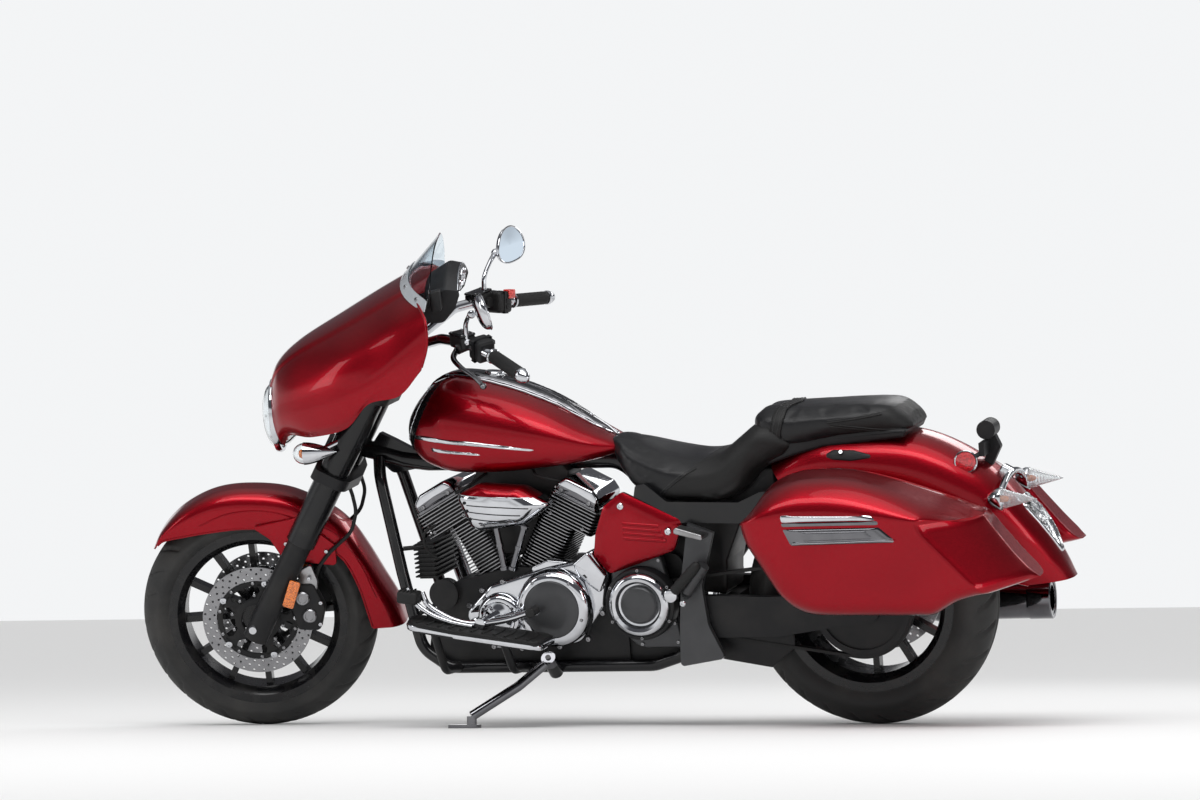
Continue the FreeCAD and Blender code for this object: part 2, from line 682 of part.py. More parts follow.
def swingarm():
    """Two box arms from the pivot tube to the rear axle."""
    outline = [(1262, 330, 30), (1300, 372, 20), (1480, 366, 40), (1690, 372, 30), (1768, 352, 16), (1768, 306, 16),
               (1690, 290, 30), (1500, 262, 40), (1300, 262, 20)]
    arm = slab(outline, -160, -134)
    pivot = rod(vec(1300, -161, 318), vec(1300, 161, 318), 24)
    brace = block(1318, 1352, -135, 135, 290, 344)
    arms = arm.fuse([mirrored(arm), pivot, brace])
    hole = rod(REAR_AXLE + vec(0, -200, 0), REAR_AXLE + vec(0, 200, 0), AXLE_RADIUS + 0.1)
    return arms.cut(hole).removeSplitter()


def rear_axle():
    return rod(REAR_AXLE + vec(0, -172, 0), REAR_AXLE + vec(0, 172, 0), AXLE_RADIUS)


FRONT_PULLEY = vec(1143, PULLEY_Y, 345)
FRONT_PULLEY_RADIUS = 50.0
BELT_THICK = 7.0


def drive_belt():
    """Belt loop: the hull of two circles less the hull one belt thickness inside."""
    def loop(grow):
        r0, r1 = FRONT_PULLEY_RADIUS + grow, PULLEY_RADIUS + grow
        dx, dz = REAR_AXLE.x - FRONT_PULLEY.x, REAR_AXLE.z - FRONT_PULLEY.z
        span = math.hypot(dx, dz)
        tilt = math.atan2(dz, dx)
        open_angle = math.asin((r1 - r0) / span)
        y = PULLEY_Y - PULLEY_WIDTH / 2 + 1

        def at(centre, radius, angle):
            return vec(centre.x + radius * math.cos(angle), y, centre.z + radius * math.sin(angle))
        up = tilt + math.pi / 2 + open_angle
        down = tilt - math.pi / 2 - open_angle
        a0, a1 = at(FRONT_PULLEY, r0, up), at(FRONT_PULLEY, r0, down)
        b0, b1 = at(REAR_AXLE, r1, up), at(REAR_AXLE, r1, down)
        wire = Part.Wire([
            Part.makeLine(a0, b0),
            Part.Arc(b0, at(REAR_AXLE, r1, tilt), b1).toShape(),
            Part.makeLine(b1, a1),
            Part.Arc(a1, at(FRONT_PULLEY, r0, tilt + math.pi), a0).toShape()])
        return Part.Face(wire).extrude(vec(0, PULLEY_WIDTH - 2, 0))
    return loop(SLIM_GAP + BELT_THICK).cut(loop(SLIM_GAP))


# Engine

def engine_case():
    """Crankcase and gearbox as one heavy block, cut back on the left behind the belt."""
    recess = block(1078, 1250, -CASE_HALF, PULLEY_Y + PULLEY_WIDTH / 2 + 4, 180, 500)
    return slab([(520, 232, 20), (596, 184, 20), (1190, 184, 20), (1236, 236, 20), (1236, 470, 30), (1070, 486, 30),
                 (960, 440, 40), (762, 446, 30), (600, 408, 30), (540, 330, 30)], -CASE_HALF + 44, CASE_HALF - 44).cut(recess)


def cylinder(lean):
    """Air-cooled barrel and head: stacked fins on a core, the head's set outward of the barrel's."""
    up = vec(-math.sin(math.radians(lean)), 0, math.cos(math.radians(lean)))
    out = vec(-up.z, 0, up.x) * (1 if lean > 0 else -1)
    crank = vec(CRANK_X, 0, CRANK_Z)

    def fin(at, inward, outward, half_y, thick):
        corners = [(-inward, -half_y, 14), (outward, -half_y, 14), (outward, half_y, 14), (-inward, half_y, 14)]
        wire = Part.Wire(rounded_edges(corners, lambda u, v: crank + up * at + out * u + vec(0, v, 0)))
        return Part.Face(wire).extrude(up * thick)
    pieces = [rod(crank + up * 108, crank + up * 292, BARREL_RADIUS - 6)]
    steps = int((282 - 130) / FIN_PITCH)
    for k in range(steps):
        pieces.append(fin(130 + k * FIN_PITCH, 52, 54, 84, FIN_THICK))
    pieces.append(fin(284, 34, 92, 84, 72))
    for k in range(8):
        pieces.append(fin(286 + k * FIN_PITCH, 44, 104, HEAD_HALF, FIN_THICK))
    return pieces[0].fuse(pieces[1:]).cut(engine_case()).removeSplitter()


def rocker_cover(lean):
    up = vec(-math.sin(math.radians(lean)), 0, math.cos(math.radians(lean)))
    out = vec(-up.z, 0, up.x) * (1 if lean > 0 else -1)
    base = vec(CRANK_X, 0, CRANK_Z) + up * 357

    def lift(u, v):
        return base + out * u + up * v
    wire = Part.Wire(rounded_edges([(-32, 0), (86, 0), (86, 30, 16), (60, 46, 16), (-18, 46, 18), (-32, 26, 10)], lift))
    return Part.Face(wire).extrude(vec(0, 196, 0)).translated(vec(0, -98, 0))


def engine_cylinders():
    return Part.makeCompound([cylinder(CYLINDER_LEAN), cylinder(-CYLINDER_LEAN)])


def rocker_covers():
    return Part.makeCompound([rocker_cover(CYLINDER_LEAN), rocker_cover(-CYLINDER_LEAN)])


V_COVER = [(668, 652, 14), (730, 676, 40), (836, 668, 40), (915, 618, 6), (834, 572, 40), (700, 566, 24)]


def v_covers():
    """Boat-shaped covers over the throat of the V, one on each side."""
    def outline(y, grow):
        middle = (790, 622)
        rows = [(middle[0] + (x - middle[0]) * grow, middle[1] + (z - middle[1]) * grow, r * grow)
                for x, z, r in V_COVER]
        return Part.Wire(rounded_edges(rows, lambda x, z: vec(x, y, z)))
    face = HEAD_HALF + SLIM_GAP
    shell = loft([outline(-face, 0.86), outline(-150, 1.0), outline(-182, 0.97), outline(-204, 0.82)])
    foot = block(730, 850, -face - 1, -30, 590, 634)
    return both_sides(shell.fuse(foot).removeSplitter())


def round_cover(x, z, radius, y_in, y_out, step):
    """Domed cover on the engine's side: a stepped disc whose rim is narrower than its seat."""
    base = Part.makeCylinder(radius, y_out - y_in - step, vec(x, -y_in, z), vec(0, -1, 0))
    cap = Part.makeCone(radius - 4, radius - 16, step, vec(x, -(y_out - step), z), vec(0, -1, 0))
    return base.fuse(cap)


def left_engine_covers():
    """Crank cover, big clutch-side cover and the bright casting that joins them."""
    face = CASE_HALF - 44
    web = slab([(640, 330, 30), (720, 408, 30), (880, 452, 40), (975, 470, 20), (1010, 500, 10), (1052, 430, 20),
                (1036, 350, 20), (960, 250, 40), (720, 236, 40)], -face, -face - 54)
    pieces = [web,
              round_cover(755, 330, 60, face, 190, 12),
              round_cover(911, 351, 90, face, 212, 14)]
    return joined(pieces)


def right_engine_covers():
    face = CASE_HALF - 44
    web = slab([(620, 330, 30), (700, 410, 30), (880, 430, 40), (980, 410, 20), (1000, 300, 40), (930, 232, 40),
                (700, 232, 40)], face, face + 34)
    big = mirrored(round_cover(870, 335, 100, face, 170, 14))
    small = mirrored(round_cover(705, 335, 52, face, 162, 12))
    return joined([web, big, small])


def pulley_cover():
    face = CASE_HALF - 44
    slot_y = PULLEY_Y - PULLEY_WIDTH / 2 - 4
    base = slab([(1058, 476, 30), (1196, 476, 10), (1243, 236, 10), (1120, 236, 60), (1056, 300, 40)], slot_y,
                -face - 46)
    disc = round_cover(1144, 357, 94, -slot_y, 208, 14)
    return joined([base, disc])


def engine_side_covers():
    return Part.makeCompound([left_engine_covers(), right_engine_covers(), pulley_cover()])


def oil_cooler():
    """Finned cooler ahead of the front cylinder, hung between the down tubes."""
    tank = block(496, 540, -74, 74, 414, 512)
    fins = [block(486, 550, -80, 80, 418 + 12 * k, 422 + 12 * k) for k in range(8)]
    arms = [rod(vec(518, y, 500), vec(464, 1.35 * y, 500), 6) for y in (-72, 72)]
    cooler = tank.fuse(fins + arms)
    return cooler.cut(Part.makeCompound([frame_cradle(-1), frame_cradle(1)])).removeSplitter()


def horn():
    body = Part.makeCylinder(38, 26, vec(578, -86, 380), vec(0, -1, 0))
    rim = Part.makeCone(30, 40, 12, vec(578, -112, 380), vec(0, -1, 0))
    lug = tube([vec(578, -90, 380), vec(530, -92, 340), vec(488, -112, 322)], 6, 20)
    return body.fuse([rim, lug]).cut(frame_cradle(-1)).cut(engine_case()).removeSplitter()


# Exhaust on the right side

MUFFLER_START = vec(1180, 244, 262)
MUFFLER_END = vec(2118, 286, 266)


def exhaust_pipes():
    front = tube([vec(575, 60, 566), vec(500, 136, 548), vec(492, 184, 470), vec(520, 204, 350),
                  vec(590, 205, 272), vec(720, 205, 262), vec(940, 205, 262),
                  vec(MUFFLER_START.x + 10, MUFFLER_START.y, MUFFLER_START.z)], 22, 80)
    rear = tube([vec(955, 50, 566), vec(1034, 110, 548), vec(1046, 131, 446), vec(1062, 184, 352),
                 vec(1100, 206, 292), vec(MUFFLER_START.x - 20, MUFFLER_START.y - 6, MUFFLER_START.z)], 22, 60)
    return largest(front.fuse(rear).cut(engine_cylinders()).cut(muffler()).cut(engine_case()))


def muffler():
    line = (MUFFLER_END - MUFFLER_START).normalize()
    cone = Part.makeCone(26, 52, 90, MUFFLER_START, line)
    body = Part.makeCylinder(52, (MUFFLER_END - MUFFLER_START).Length - 90, MUFFLER_START + line * 90, line)
    bore = Part.makeCylinder(34, 120, MUFFLER_END - line * 100, line)
    hanger = block(1560, 1610, 150, 262, 296, 330)
    shape = cone.fuse([body, hanger]).cut(bore).cut(swingarm())
    return largest(shape)


# Tank, seats and bodywork

# Tank sections along X: x, half width, base half width, bottom, top
TANK_ROWS = [
    (508, 84, 60, 760, 868),
    (560, 132, 100, 722, 926),
    (640, 162, 120, 700, 948),
    (760, 170, 124, 698, 924),
    (890, 152, 112, 706, 872),
    (1000, 112, 84, 718, 806),
    (1082, 64, 48, 736, 762),
]
TANK_SHOULDER = (0.62, 0.76)


def fuel_tank():
    wires = []
    for x, half, base, low, high in TANK_ROWS:
        wires.append(hump(lambda y, z, x=x: vec(x, y, z), half, base, low, high, TANK_SHOULDER))
    wide = SPINE_RADIUS + SLIM_GAP
    tunnel = block(400, 1090, -wide, wide, 560, SPINE_Z)
    return loft(wires).cut(tunnel).cut(spine_tube(wide)).removeSplitter()


# Console on the tank's crown: x, half width
CONSOLE_ROWS = [(560, 30), (640, 44), (760, 50), (890, 42), (1000, 30)]


def tank_console():
    """Bright console along the top of the tank, following its crown."""
    wires = []
    for x, half in CONSOLE_ROWS:
        row = next(r for r in TANK_ROWS if r[0] == x)
        half_tank, low, high = row[1], row[3], row[4]
        sx, drop = half_tank * TANK_SHOULDER[0], (high - low) * (1 - TANK_SHOULDER[1])
        radius = (sx * sx + drop * drop) / (2 * drop)
        fall = radius - math.sqrt(radius * radius - half * half)
        seat = high + SLIM_GAP
        points = [vec(x, -half, seat - fall), vec(x, 0, seat), vec(x, half, seat - fall)]
        raised = [vec(x, -half + 4, seat - fall + 9), vec(x, 0, seat + 13), vec(x, half - 4, seat - fall + 9)]
        wires.append(Part.Wire([
            Part.Arc(*points).toShape(), Part.makeLine(points[2], raised[2]),
            Part.Arc(raised[2], raised[1], raised[0]).toShape(), Part.makeLine(raised[0], points[0])]))
    return loft(wires).cut(fuel_tank())


# Rider's seat sections: x, half width, base half width, bottom, top
RIDER_ROWS = [
    (1086, 62, 56, 744, 782),
    (1150, 128, 120, 672, 758),
    (1250, 164, 156, 622, 737),
    (1360, 172, 160, 616, 746),
    (1430, 164, 150, 634, 795),
    (1476, 146, 134, 668, 838),
]
PILLION_ROWS = [
    (1476 + SLIM_GAP, 128, 126, 774, 842),
    (1560, 132, 130, 775.5, 854),
    (1716, 134, 132, 775.5, 857),
    (1834, 122, 118, 775.5, 851),
    (1882, 96, 92, 775.5, 812),
]


def seat_loft(rows):
    wires = []
    for x, half, base, low, high in rows:
        wires.append(hump(lambda y, z, x=x: vec(x, y, z), half, base, low, high, (0.80, 0.72)))
    return loft(wires)


def rider_seat():
    return seat_loft(RIDER_ROWS)


def passenger_seat():
    return seat_loft(PILLION_ROWS)


# Rear fender: arches on planes through one centre. angle, radius, half width, side depth
TAIL_CENTRE = vec(1764, 0, 328)
TAIL_ROWS = [
    (124, 438, 124, 130),
    (100, 446, 138, 190),
    (75, 447, TAIL_HALF, 225),
    (50, 446, 138, 230),
    (28, 452, 124, 220),
    (14, 470, 96, 180),
    (6, 488, 66, 110),
]
TAIL_WALL = 4.0
TAIL_SHOULDER = (0.60, 0.80)


def tail_point(angle, y, radius):
    a = math.radians(angle)
    return TAIL_CENTRE + vec(radius * math.cos(a), y, radius * math.sin(a))


def rear_fender():
    wires = []
    for angle, radius, half, deep in TAIL_ROWS:
        wires.append(arch(lambda y, r, a=angle: tail_point(a, y, r), half, half, radius - deep, radius,
                          TAIL_WALL, TAIL_SHOULDER))
    return loft(wires)


# Tail lamp on the fender's crown: angle, half width
LAMP_ROWS = [(34, 50), (28, 46), (14, 12)]


def tail_lamp():
    """Long pointed lens that follows the crown of the fender."""
    wires = []
    for angle, half in LAMP_ROWS:
        radius, half_fender, deep = tail_row(angle)
        sx, drop = half_fender * TAIL_SHOULDER[0], deep * (1 - TAIL_SHOULDER[1])
        curve = (sx * sx + drop * drop) / (2 * drop)
        fall = curve - math.sqrt(curve * curve - half * half)
        seat = radius + 1.5
        low = [tail_point(angle, -half, seat - fall), tail_point(angle, 0, seat), tail_point(angle, half, seat - fall)]
        top = [tail_point(angle, -half * 0.9, seat - fall + 8), tail_point(angle, 0, seat + 12),
               tail_point(angle, half * 0.9, seat - fall + 8)]
        wires.append(Part.Wire([
            Part.Arc(*low).toShape(), Part.makeLine(low[2], top[2]),
            Part.Arc(top[2], top[1], top[0]).toShape(), Part.makeLine(top[0], low[0])]))
    return loft(wires).cut(rear_fender())


def tail_row(angle):
    """Fender radius, half width and depth at an angle, between its rows."""
    for (a0, r0, h0, d0), (a1, r1, h1, d1) in zip(TAIL_ROWS, TAIL_ROWS[1:]):
        if a1 <= angle <= a0:
            t = (a0 - angle) / (a0 - a1)
            return r0 + (r1 - r0) * t, h0 + (h1 - h0) * t, d0 + (d1 - d0) * t
    return TAIL_ROWS[-1][1:]


def rear_indicators():
    """Cross arm over the tail with a bright cup and a long pointed lens at each end."""
    y = 156.0
    ends = vec(2092, y, 606)
    arm = tube([vec(2092, -y, 606), vec(2099, -104, 630), vec(2099, -40, 644), vec(2099, 40, 644),
                vec(2099, 104, 630), vec(2092, y, 606)], 9, 40)
    cups = []
    for side in (-1, 1):
        centre = vec(ends.x, side * y, ends.z)
        cups.append(lathe([(-24, 0), (-22, 12), (-8, 23), (14, 28), (20, 28), (102, 3), (104, 0)], centre, 1))
    foot = slab([(2062, 640), (2096, 628), (2110, 650, 6), (2080, 668, 6)], -22, 22).cut(rear_fender())
    foot = largest(foot)
    return joined([arm, foot] + cups)


def plate_bracket():
    """Upright slotted bracket on the tail with a small round housing and side reflector stem."""
    plate_shape = slab([(2028, 660), (2044, 652), (2078, 716, 8), (2056, 766, 10), (2034, 768, 10), (2044, 716, 10)],
                       -12, 12)
    cross = block(2036, 2050, -76, 76, 702, 736)
    cap = Part.makeCylinder(24, 60, vec(2046, -30, 762), vec(0, 1, 0))
    stem = rod(vec(2043, -60, 712), vec(2012, -92, 694), 6)
    reflector = Part.makeCylinder(27, 14, vec(2006, -86, 693), vec(0.1, -1, 0))
    bracket = plate_shape.fuse([cross, cap, stem, reflector]).cut(rear_fender())
    return largest(bracket)


def side_panel(side):
    """Ribbed cover below the seat's nose."""
    shape = slab([(1036, 536, 10), (1062, 618, 20), (1118, 650, 12), (1272, 566, 8), (1258, 508, 8), (1146, 462, 20),
                  (1066, 438, 16), (1032, 484, 20)], -RAIL_OUT_Y - SLIM_GAP, -186)
    return shape if side < 0 else mirrored(shape)


def side_panels():
    return Part.makeCompound([side_panel(-1), side_panel(1)])


# Saddlebag outline in side view, front seam point first: x, z, corner radius
BAG_OUTLINE = [
    (1490, 604, 20), (1506, 690, 40), (1590, 748, 90), (1760, 760, 300), (1930, 730, 300), (2128, 644, 20),
    (2160, 566, 60), (2243, 450, 14), (2040, 394, 60), (1992, 356, 40), (1690, 354, 50), (1556, 452, 80),
]
BAG_MIDDLE = (1850, 556)
# Bag sections across: y, share of the outline, all from inside out
BAG_ROWS = [(BAG_INNER_Y, 0.95), (250.0, 1.0), (370.0, 0.985), (BAG_OUTER_Y, 0.90)]


def bag_body(inset):
    """Bag from its inner face out, all faces moved in by one inset."""
    wide = 2243.0 - 1490.0
    tall = 760.0 - 354.0
    wires = []
    for k, (y, share) in enumerate(BAG_ROWS):
        sx = share * (wide - 2 * inset) / wide
        sz = share * (tall - 2 * inset) / tall
        rows = [(BAG_MIDDLE[0] + (x - BAG_MIDDLE[0]) * sx, BAG_MIDDLE[1] + (z - BAG_MIDDLE[1]) * sz, r * 0.9)
                for x, z, r in BAG_OUTLINE]
        if k == 0:
            y = y + inset
        if k == len(BAG_ROWS) - 1:
            y = y - inset
        wires.append(Part.Wire(rounded_edges(rows, lambda x, z, y=y: vec(x, -y, z))))
    return loft(wires)


def bag_shell():
    return bag_body(0.0).cut(bag_body(BAG_WALL))


def bag_case(side):
    """Lower, fixed half of a saddlebag, its mounting blocks and the bright panel outside."""
    below = block(1400, 2300, -BAG_OUTER_Y - 10, -BAG_INNER_Y + 10, 300, BAG_SEAM_Z)
    trim = slab([(1614, BAG_SEAM_Z - 1), (1870, BAG_SEAM_Z - 1), (1903, 556, 4), (1630, 549, 6)],
                -BAG_OUTER_Y + 30, -BAG_OUTER_Y - 7)
    mounts = [block(x, x + 60, -BAG_INNER_Y - 3, -120, 520, 560) for x in (1640, 1900)]
    shape = bag_shell().common(below).fuse([trim] + mounts).cut(bag_body(BAG_WALL)).cut(rear_fender())
    shape = largest(shape)
    return shape if side < 0 else mirrored(shape)


def bag_lid(side):
    """Upper half of a saddlebag with its bright bar, hinged along its outer edge."""
    above = block(1400, 2300, -BAG_OUTER_Y - 10, -BAG_INNER_Y + 10, BAG_SEAM_Z + BAG_SEAM_GAP, 800)
    trim = slab([(1606, 622, 4), (1864, 618, 4), (1876, BAG_SEAM_Z + 2), (1610, BAG_SEAM_Z + 2)],
                -BAG_OUTER_Y + 40, -BAG_OUTER_Y - 6)
    shape = bag_shell().common(above).fuse(trim).cut(bag_body(BAG_WALL))
    shape = largest(shape)
    return shape if side < 0 else mirrored(shape)


# Foot controls

def footboard(side):
    """Curved board on two arms from the cradle rail."""
    board = plate([(540, -262, 20), (560, -372, 50), (700, -386, 80), (928, -372, 20), (928, -244, 20)], 0, 17)
    board.rotate(vec(540, 0, 0), vec(0, 1, 0), 9.5)
    board.translate(vec(0, 0, 338))
    arms = [tube([vec(x, -122, 184), vec(x, -236, 198), vec(x, -300, z)], 11, 40)
            for x, z in ((610, 326), (800, 294))]
    shape = board.fuse(arms).cut(frame_cradle(-1))
    shape = largest(shape).removeSplitter()
    return shape if side < 0 else mirrored(shape)


def footboards():
    return Part.makeCompound([footboard(-1), footboard(1)])


def shift_lever():
    """Heel-and-toe lever: a bright curved arm with a rubber toe pad and a heel peg."""
    arm = tube([vec(590, -306, 424), vec(612, -306, 388), vec(700, -306, 338), vec(790, -306, 342),
                vec(900, -306, 366)], 7, 60)
    pad = block(530, 584, -350, -298, 356, 426)
    pad = pad.fuse(rod(vec(560, -306, 410), vec(592, -306, 420), 8))
    shaft = rod(vec(748, -CASE_HALF - 30, 338), vec(748, -312, 338), 9)
    lever = arm.fuse([pad, shaft]).cut(left_engine_covers())
    return largest(lever).removeSplitter()


def brake_pedal():
    arm = tube([vec(560, 330, 408), vec(640, 312, 372), vec(748, 306, 338)], 8, 60)
    pad = block(528, 590, 298, 356, 398, 414)
    shaft = rod(vec(748, 150, 338), vec(748, 314, 338), 9)
    pedal = arm.fuse([pad, shaft]).cut(right_engine_covers())
    return largest(pedal).removeSplitter()


def foot_controls():
    return Part.makeCompound([shift_lever(), brake_pedal()])


# Side stand

# Parked pose: lean, the small pitch that puts both tyres on the road, and the steered fork

def turn(axis, angle, about):
    """Placement that turns about a point."""
    return FreeCAD.Placement(FreeCAD.Vector(0, 0, 0), FreeCAD.Rotation(axis, angle), about)


STEERED = turn(LINE, STEER, ROAD_POINT)
LEANED = turn(vec(1, 0, 0), LEAN, vec(0, 0, 0))


def tyre_low(placement, centre, radius, crown):
    """Height of a tyre's lowest point: its crown circle, tilted with the wheel."""
    axle = placement.Rotation.multVec(vec(0, 1, 0))
    middle = placement.multVec(centre)
    return middle, middle.z - (radius - crown) * math.sqrt(1 - axle.z ** 2) - crown


def parked():
    """Placement of the frame in the parked pose, before it is centred."""
    front, front_low = tyre_low(LEANED.multiply(STEERED), FRONT_AXLE, FRONT_RADIUS, FRONT_CROWN)
    rear, rear_low = tyre_low(LEANED, REAR_AXLE, REAR_RADIUS, REAR_CROWN)
    pitch = math.degrees(math.atan2(rear_low - front_low, rear.x - front.x))
    tipped = turn(vec(0, 1, 0), pitch, vec(0, 0, 0)).multiply(LEANED)
    low = tyre_low(tipped.multiply(STEERED), FRONT_AXLE, FRONT_RADIUS, FRONT_CROWN)[1]
    return FreeCAD.Placement(vec(0, 0, -low), FreeCAD.Rotation()).multiply(tipped)


def side_stand():
    """Stand leg and foot; the foot's sole lies on the road in the parked pose."""
    pose = parked()
    back = pose.inverse()
    knee = vec(814, -250, 158)
    ankle = pose.multVec(vec(706, -322, 96))
    ankle = back.multVec(ankle)
    leg = tube([STAND_PIVOT, knee, ankle], STAND_RADIUS, 60)
    ends = STAND_PIVOT - STAND_AXIS * STAND_EYE_HALF, STAND_PIVOT + STAND_AXIS * STAND_EYE_HALF
    eye = rod(*ends, 19)
    bore = rod(*ends, STAND_PIN + PIN_FIT)
    heel = pose.multVec(ankle)
    sole_wire = Part.Wire(rounded_edges([(-62, -26, 18), (22, -26, 18), (22, 26, 18), (-62, 26, 18)],
                                        lambda x, y: vec(heel.x + x, heel.y + y, 0)))
    sole = Part.Face(sole_wire).extrude(vec(0, 0, 9))
    post = rod(vec(heel.x, heel.y, 4), heel, STAND_RADIUS)
    for piece in (sole, post):
        piece.Placement = back.multiply(piece.Placement)
    return leg.fuse([eye, sole, post]).cut(bore).removeSplitter()


# Every node: name, body it belongs to, maker
PIECES = [
    ("frame_spine", "chassis", frame_spine),
    ("frame_cradles", "chassis", frame_cradles),
    ("pivot_plates", "chassis", pivot_plates),
    ("swingarm", "chassis", swingarm),
    ("rear_axle", "chassis", rear_axle),
    ("drive_belt", "chassis", drive_belt),
    ("engine_case", "chassis", engine_case),
    ("engine_cylinders", "chassis", engine_cylinders),
    ("rocker_covers", "chassis", rocker_covers),
    ("engine_v_covers", "chassis", v_covers),
    ("engine_side_covers", "chassis", engine_side_covers),
    ("oil_cooler", "chassis", oil_cooler),
    ("horn", "chassis", horn),
    ("exhaust_pipes", "chassis", exhaust_pipes),
    ("muffler", "chassis", muffler),
    ("fuel_tank", "chassis", fuel_tank),
    ("tank_console", "chassis", tank_console),
    ("rider_seat", "chassis", rider_seat),
    ("passenger_seat", "chassis", passenger_seat),
    ("rear_fender", "chassis", rear_fender),
    ("tail_lamp", "chassis", tail_lamp),
    ("rear_indicators", "chassis", rear_indicators),
    ("plate_bracket", "chassis", plate_bracket),
    ("side_panels", "chassis", side_panels),
    ("bag_case_left", "chassis", lambda: bag_case(-1)),
    ("bag_case_right", "chassis", lambda: bag_case(1)),
    ("bag_lid_left", "lid_left", lambda: bag_lid(-1)),
    ("bag_lid_right", "lid_right", lambda: bag_lid(1)),
    ("footboards", "chassis", footboards),
    ("foot_controls", "chassis", foot_controls),
    ("stand_leg", "side_stand", side_stand),
    ("triple_clamps", "steering", triple_clamps),
    ("fork_sliders", "steering", fork_sliders),
    ("fork_shrouds", "steering", fork_shrouds),
    ("front_axle", "steering", front_axle),
    ("front_calipers", "steering", front_calipers),
    ("brake_hoses", "steering", brake_hoses),
    ("front_fender", "steering", front_fender),
    ("fairing", "steering", fairing),
    ("windshield", "steering", windshield),
    ("instrument_hood", "steering", instrument_hood),
    ("headlight", "steering", headlight),
    ("front_indicators", "steering", front_indicators),
    ("handlebar", "steering", handlebar),
    ("grips", "steering", grips),
    ("bar_controls", "steering", all_bar_controls),
    ("mirrors", "steering", mirrors),
    ("front_tyre", "front_wheel", front_tyre),
    ("front_cast_wheel", "front_wheel", front_wheel),
    ("front_discs", "front_wheel", front_discs),
    ("rear_tyre", "rear_wheel", rear_tyre),
    ("rear_cast_wheel", "rear_wheel", rear_wheel),
    ("rear_disc", "rear_wheel", rear_disc),
    ("rear_pulley", "rear_wheel", rear_pulley),
]
TURNED_BODIES = ("steering", "front_wheel")


def build():
    """Make every node in the parked pose, centred over the origin, and write it."""
    pose = parked()
    made = []
    reach = FreeCAD.BoundBox()
    for name, body, maker in PIECES:
        shape = maker()
        place = pose.multiply(STEERED) if body in TURNED_BODIES else pose
        shape.Placement = place.multiply(shape.Placement)
        reach.add(shape.BoundBox)
        made.append((name, shape))
    centre = vec(-reach.Center.x, -reach.Center.y, 0)
    os.makedirs("parts", exist_ok=True)
    for name, shape in made:
        shape.translate(centre)
        shape.exportStep("parts/" + name + ".step")
        print(name, len(shape.Solids), shape.isValid(), round(shape.Volume / 1e6, 4))
    return pose, centre


POSE, CENTRE = build()
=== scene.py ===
"""Touring cruiser motorcycle: paint, chrome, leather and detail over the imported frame."""

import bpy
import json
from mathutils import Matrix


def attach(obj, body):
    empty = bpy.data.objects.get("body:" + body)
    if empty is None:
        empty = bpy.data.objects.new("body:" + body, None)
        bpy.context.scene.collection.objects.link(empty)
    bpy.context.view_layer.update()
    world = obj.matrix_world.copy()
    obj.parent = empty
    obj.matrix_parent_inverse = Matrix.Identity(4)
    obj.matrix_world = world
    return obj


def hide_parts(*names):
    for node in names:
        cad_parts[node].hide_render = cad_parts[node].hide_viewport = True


bl_info = {
    "name": "Touring Cruiser",
    "version": (1, 0, 0),
    "blender": (4, 5, 0),
    "location": "View3D > Sidebar > Cruiser",
    "description": "Dresses the packed frame of a touring cruiser with paint, chrome, leather and rubber",
    "category": "Add Mesh",
}

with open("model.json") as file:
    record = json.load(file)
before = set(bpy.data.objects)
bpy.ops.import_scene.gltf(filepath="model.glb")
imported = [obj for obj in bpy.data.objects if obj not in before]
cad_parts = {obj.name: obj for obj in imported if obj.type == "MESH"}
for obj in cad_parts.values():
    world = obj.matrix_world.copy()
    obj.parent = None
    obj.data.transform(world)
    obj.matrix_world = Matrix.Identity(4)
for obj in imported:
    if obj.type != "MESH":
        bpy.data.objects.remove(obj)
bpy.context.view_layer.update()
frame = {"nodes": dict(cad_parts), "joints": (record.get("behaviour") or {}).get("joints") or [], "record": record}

import json
import math

import bmesh
import bpy
import numpy as np
from mathutils import Matrix, Vector

MM = 0.001
RAKE = math.radians(31.3)
FRONT_AXLE = np.array([0.0, 0.0, 320.0])
REAR_AXLE = np.array([1715.0, 0.0, 330.0])
LEFT, UP = (0, -1, 0), (0, 0, 1)


def unit(row):
    """A vector over its length."""
    row = np.asarray(row, float)
    return row / np.linalg.norm(row)


def units(rows):
    """Each row of an array over its length."""
    return rows / np.linalg.norm(rows, axis=-1, keepdims=True)


def turns(count):
    """Even angles round a full circle."""
    return np.linspace(0, math.tau, count, endpoint=False)


def placement(spin, axle):
    """Matrix from the upright drawing, in millimetres, to the parked machine, in metres.
    The wheel's axis is the drawing's Y, and the steering axis lies at the rake in its X-Z plane."""
    joints = {row["name"]: row for row in frame["joints"]}
    across = unit(joints[spin]["axis"])
    line = np.array(joints["steering_turn"]["axis"], float)
    line = unit(line - across * line.dot(across))
    behind = np.cross(across, line)
    back = math.sin(RAKE) * line + math.cos(RAKE) * behind
    up = math.cos(RAKE) * line - math.sin(RAKE) * behind
    place = np.eye(4)
    place[:3, :3] = np.stack([back, across, up], 1) * MM
    place[:3, 3] = np.array(joints[spin]["pos_m"]) - place[:3, :3] @ axle
    return place


BIKE = placement("rear_wheel_spin", REAR_AXLE)
FORK = placement("front_wheel_spin", FRONT_AXLE)
PLACES = {"steering": FORK, "front_wheel": FORK}


# Shapes

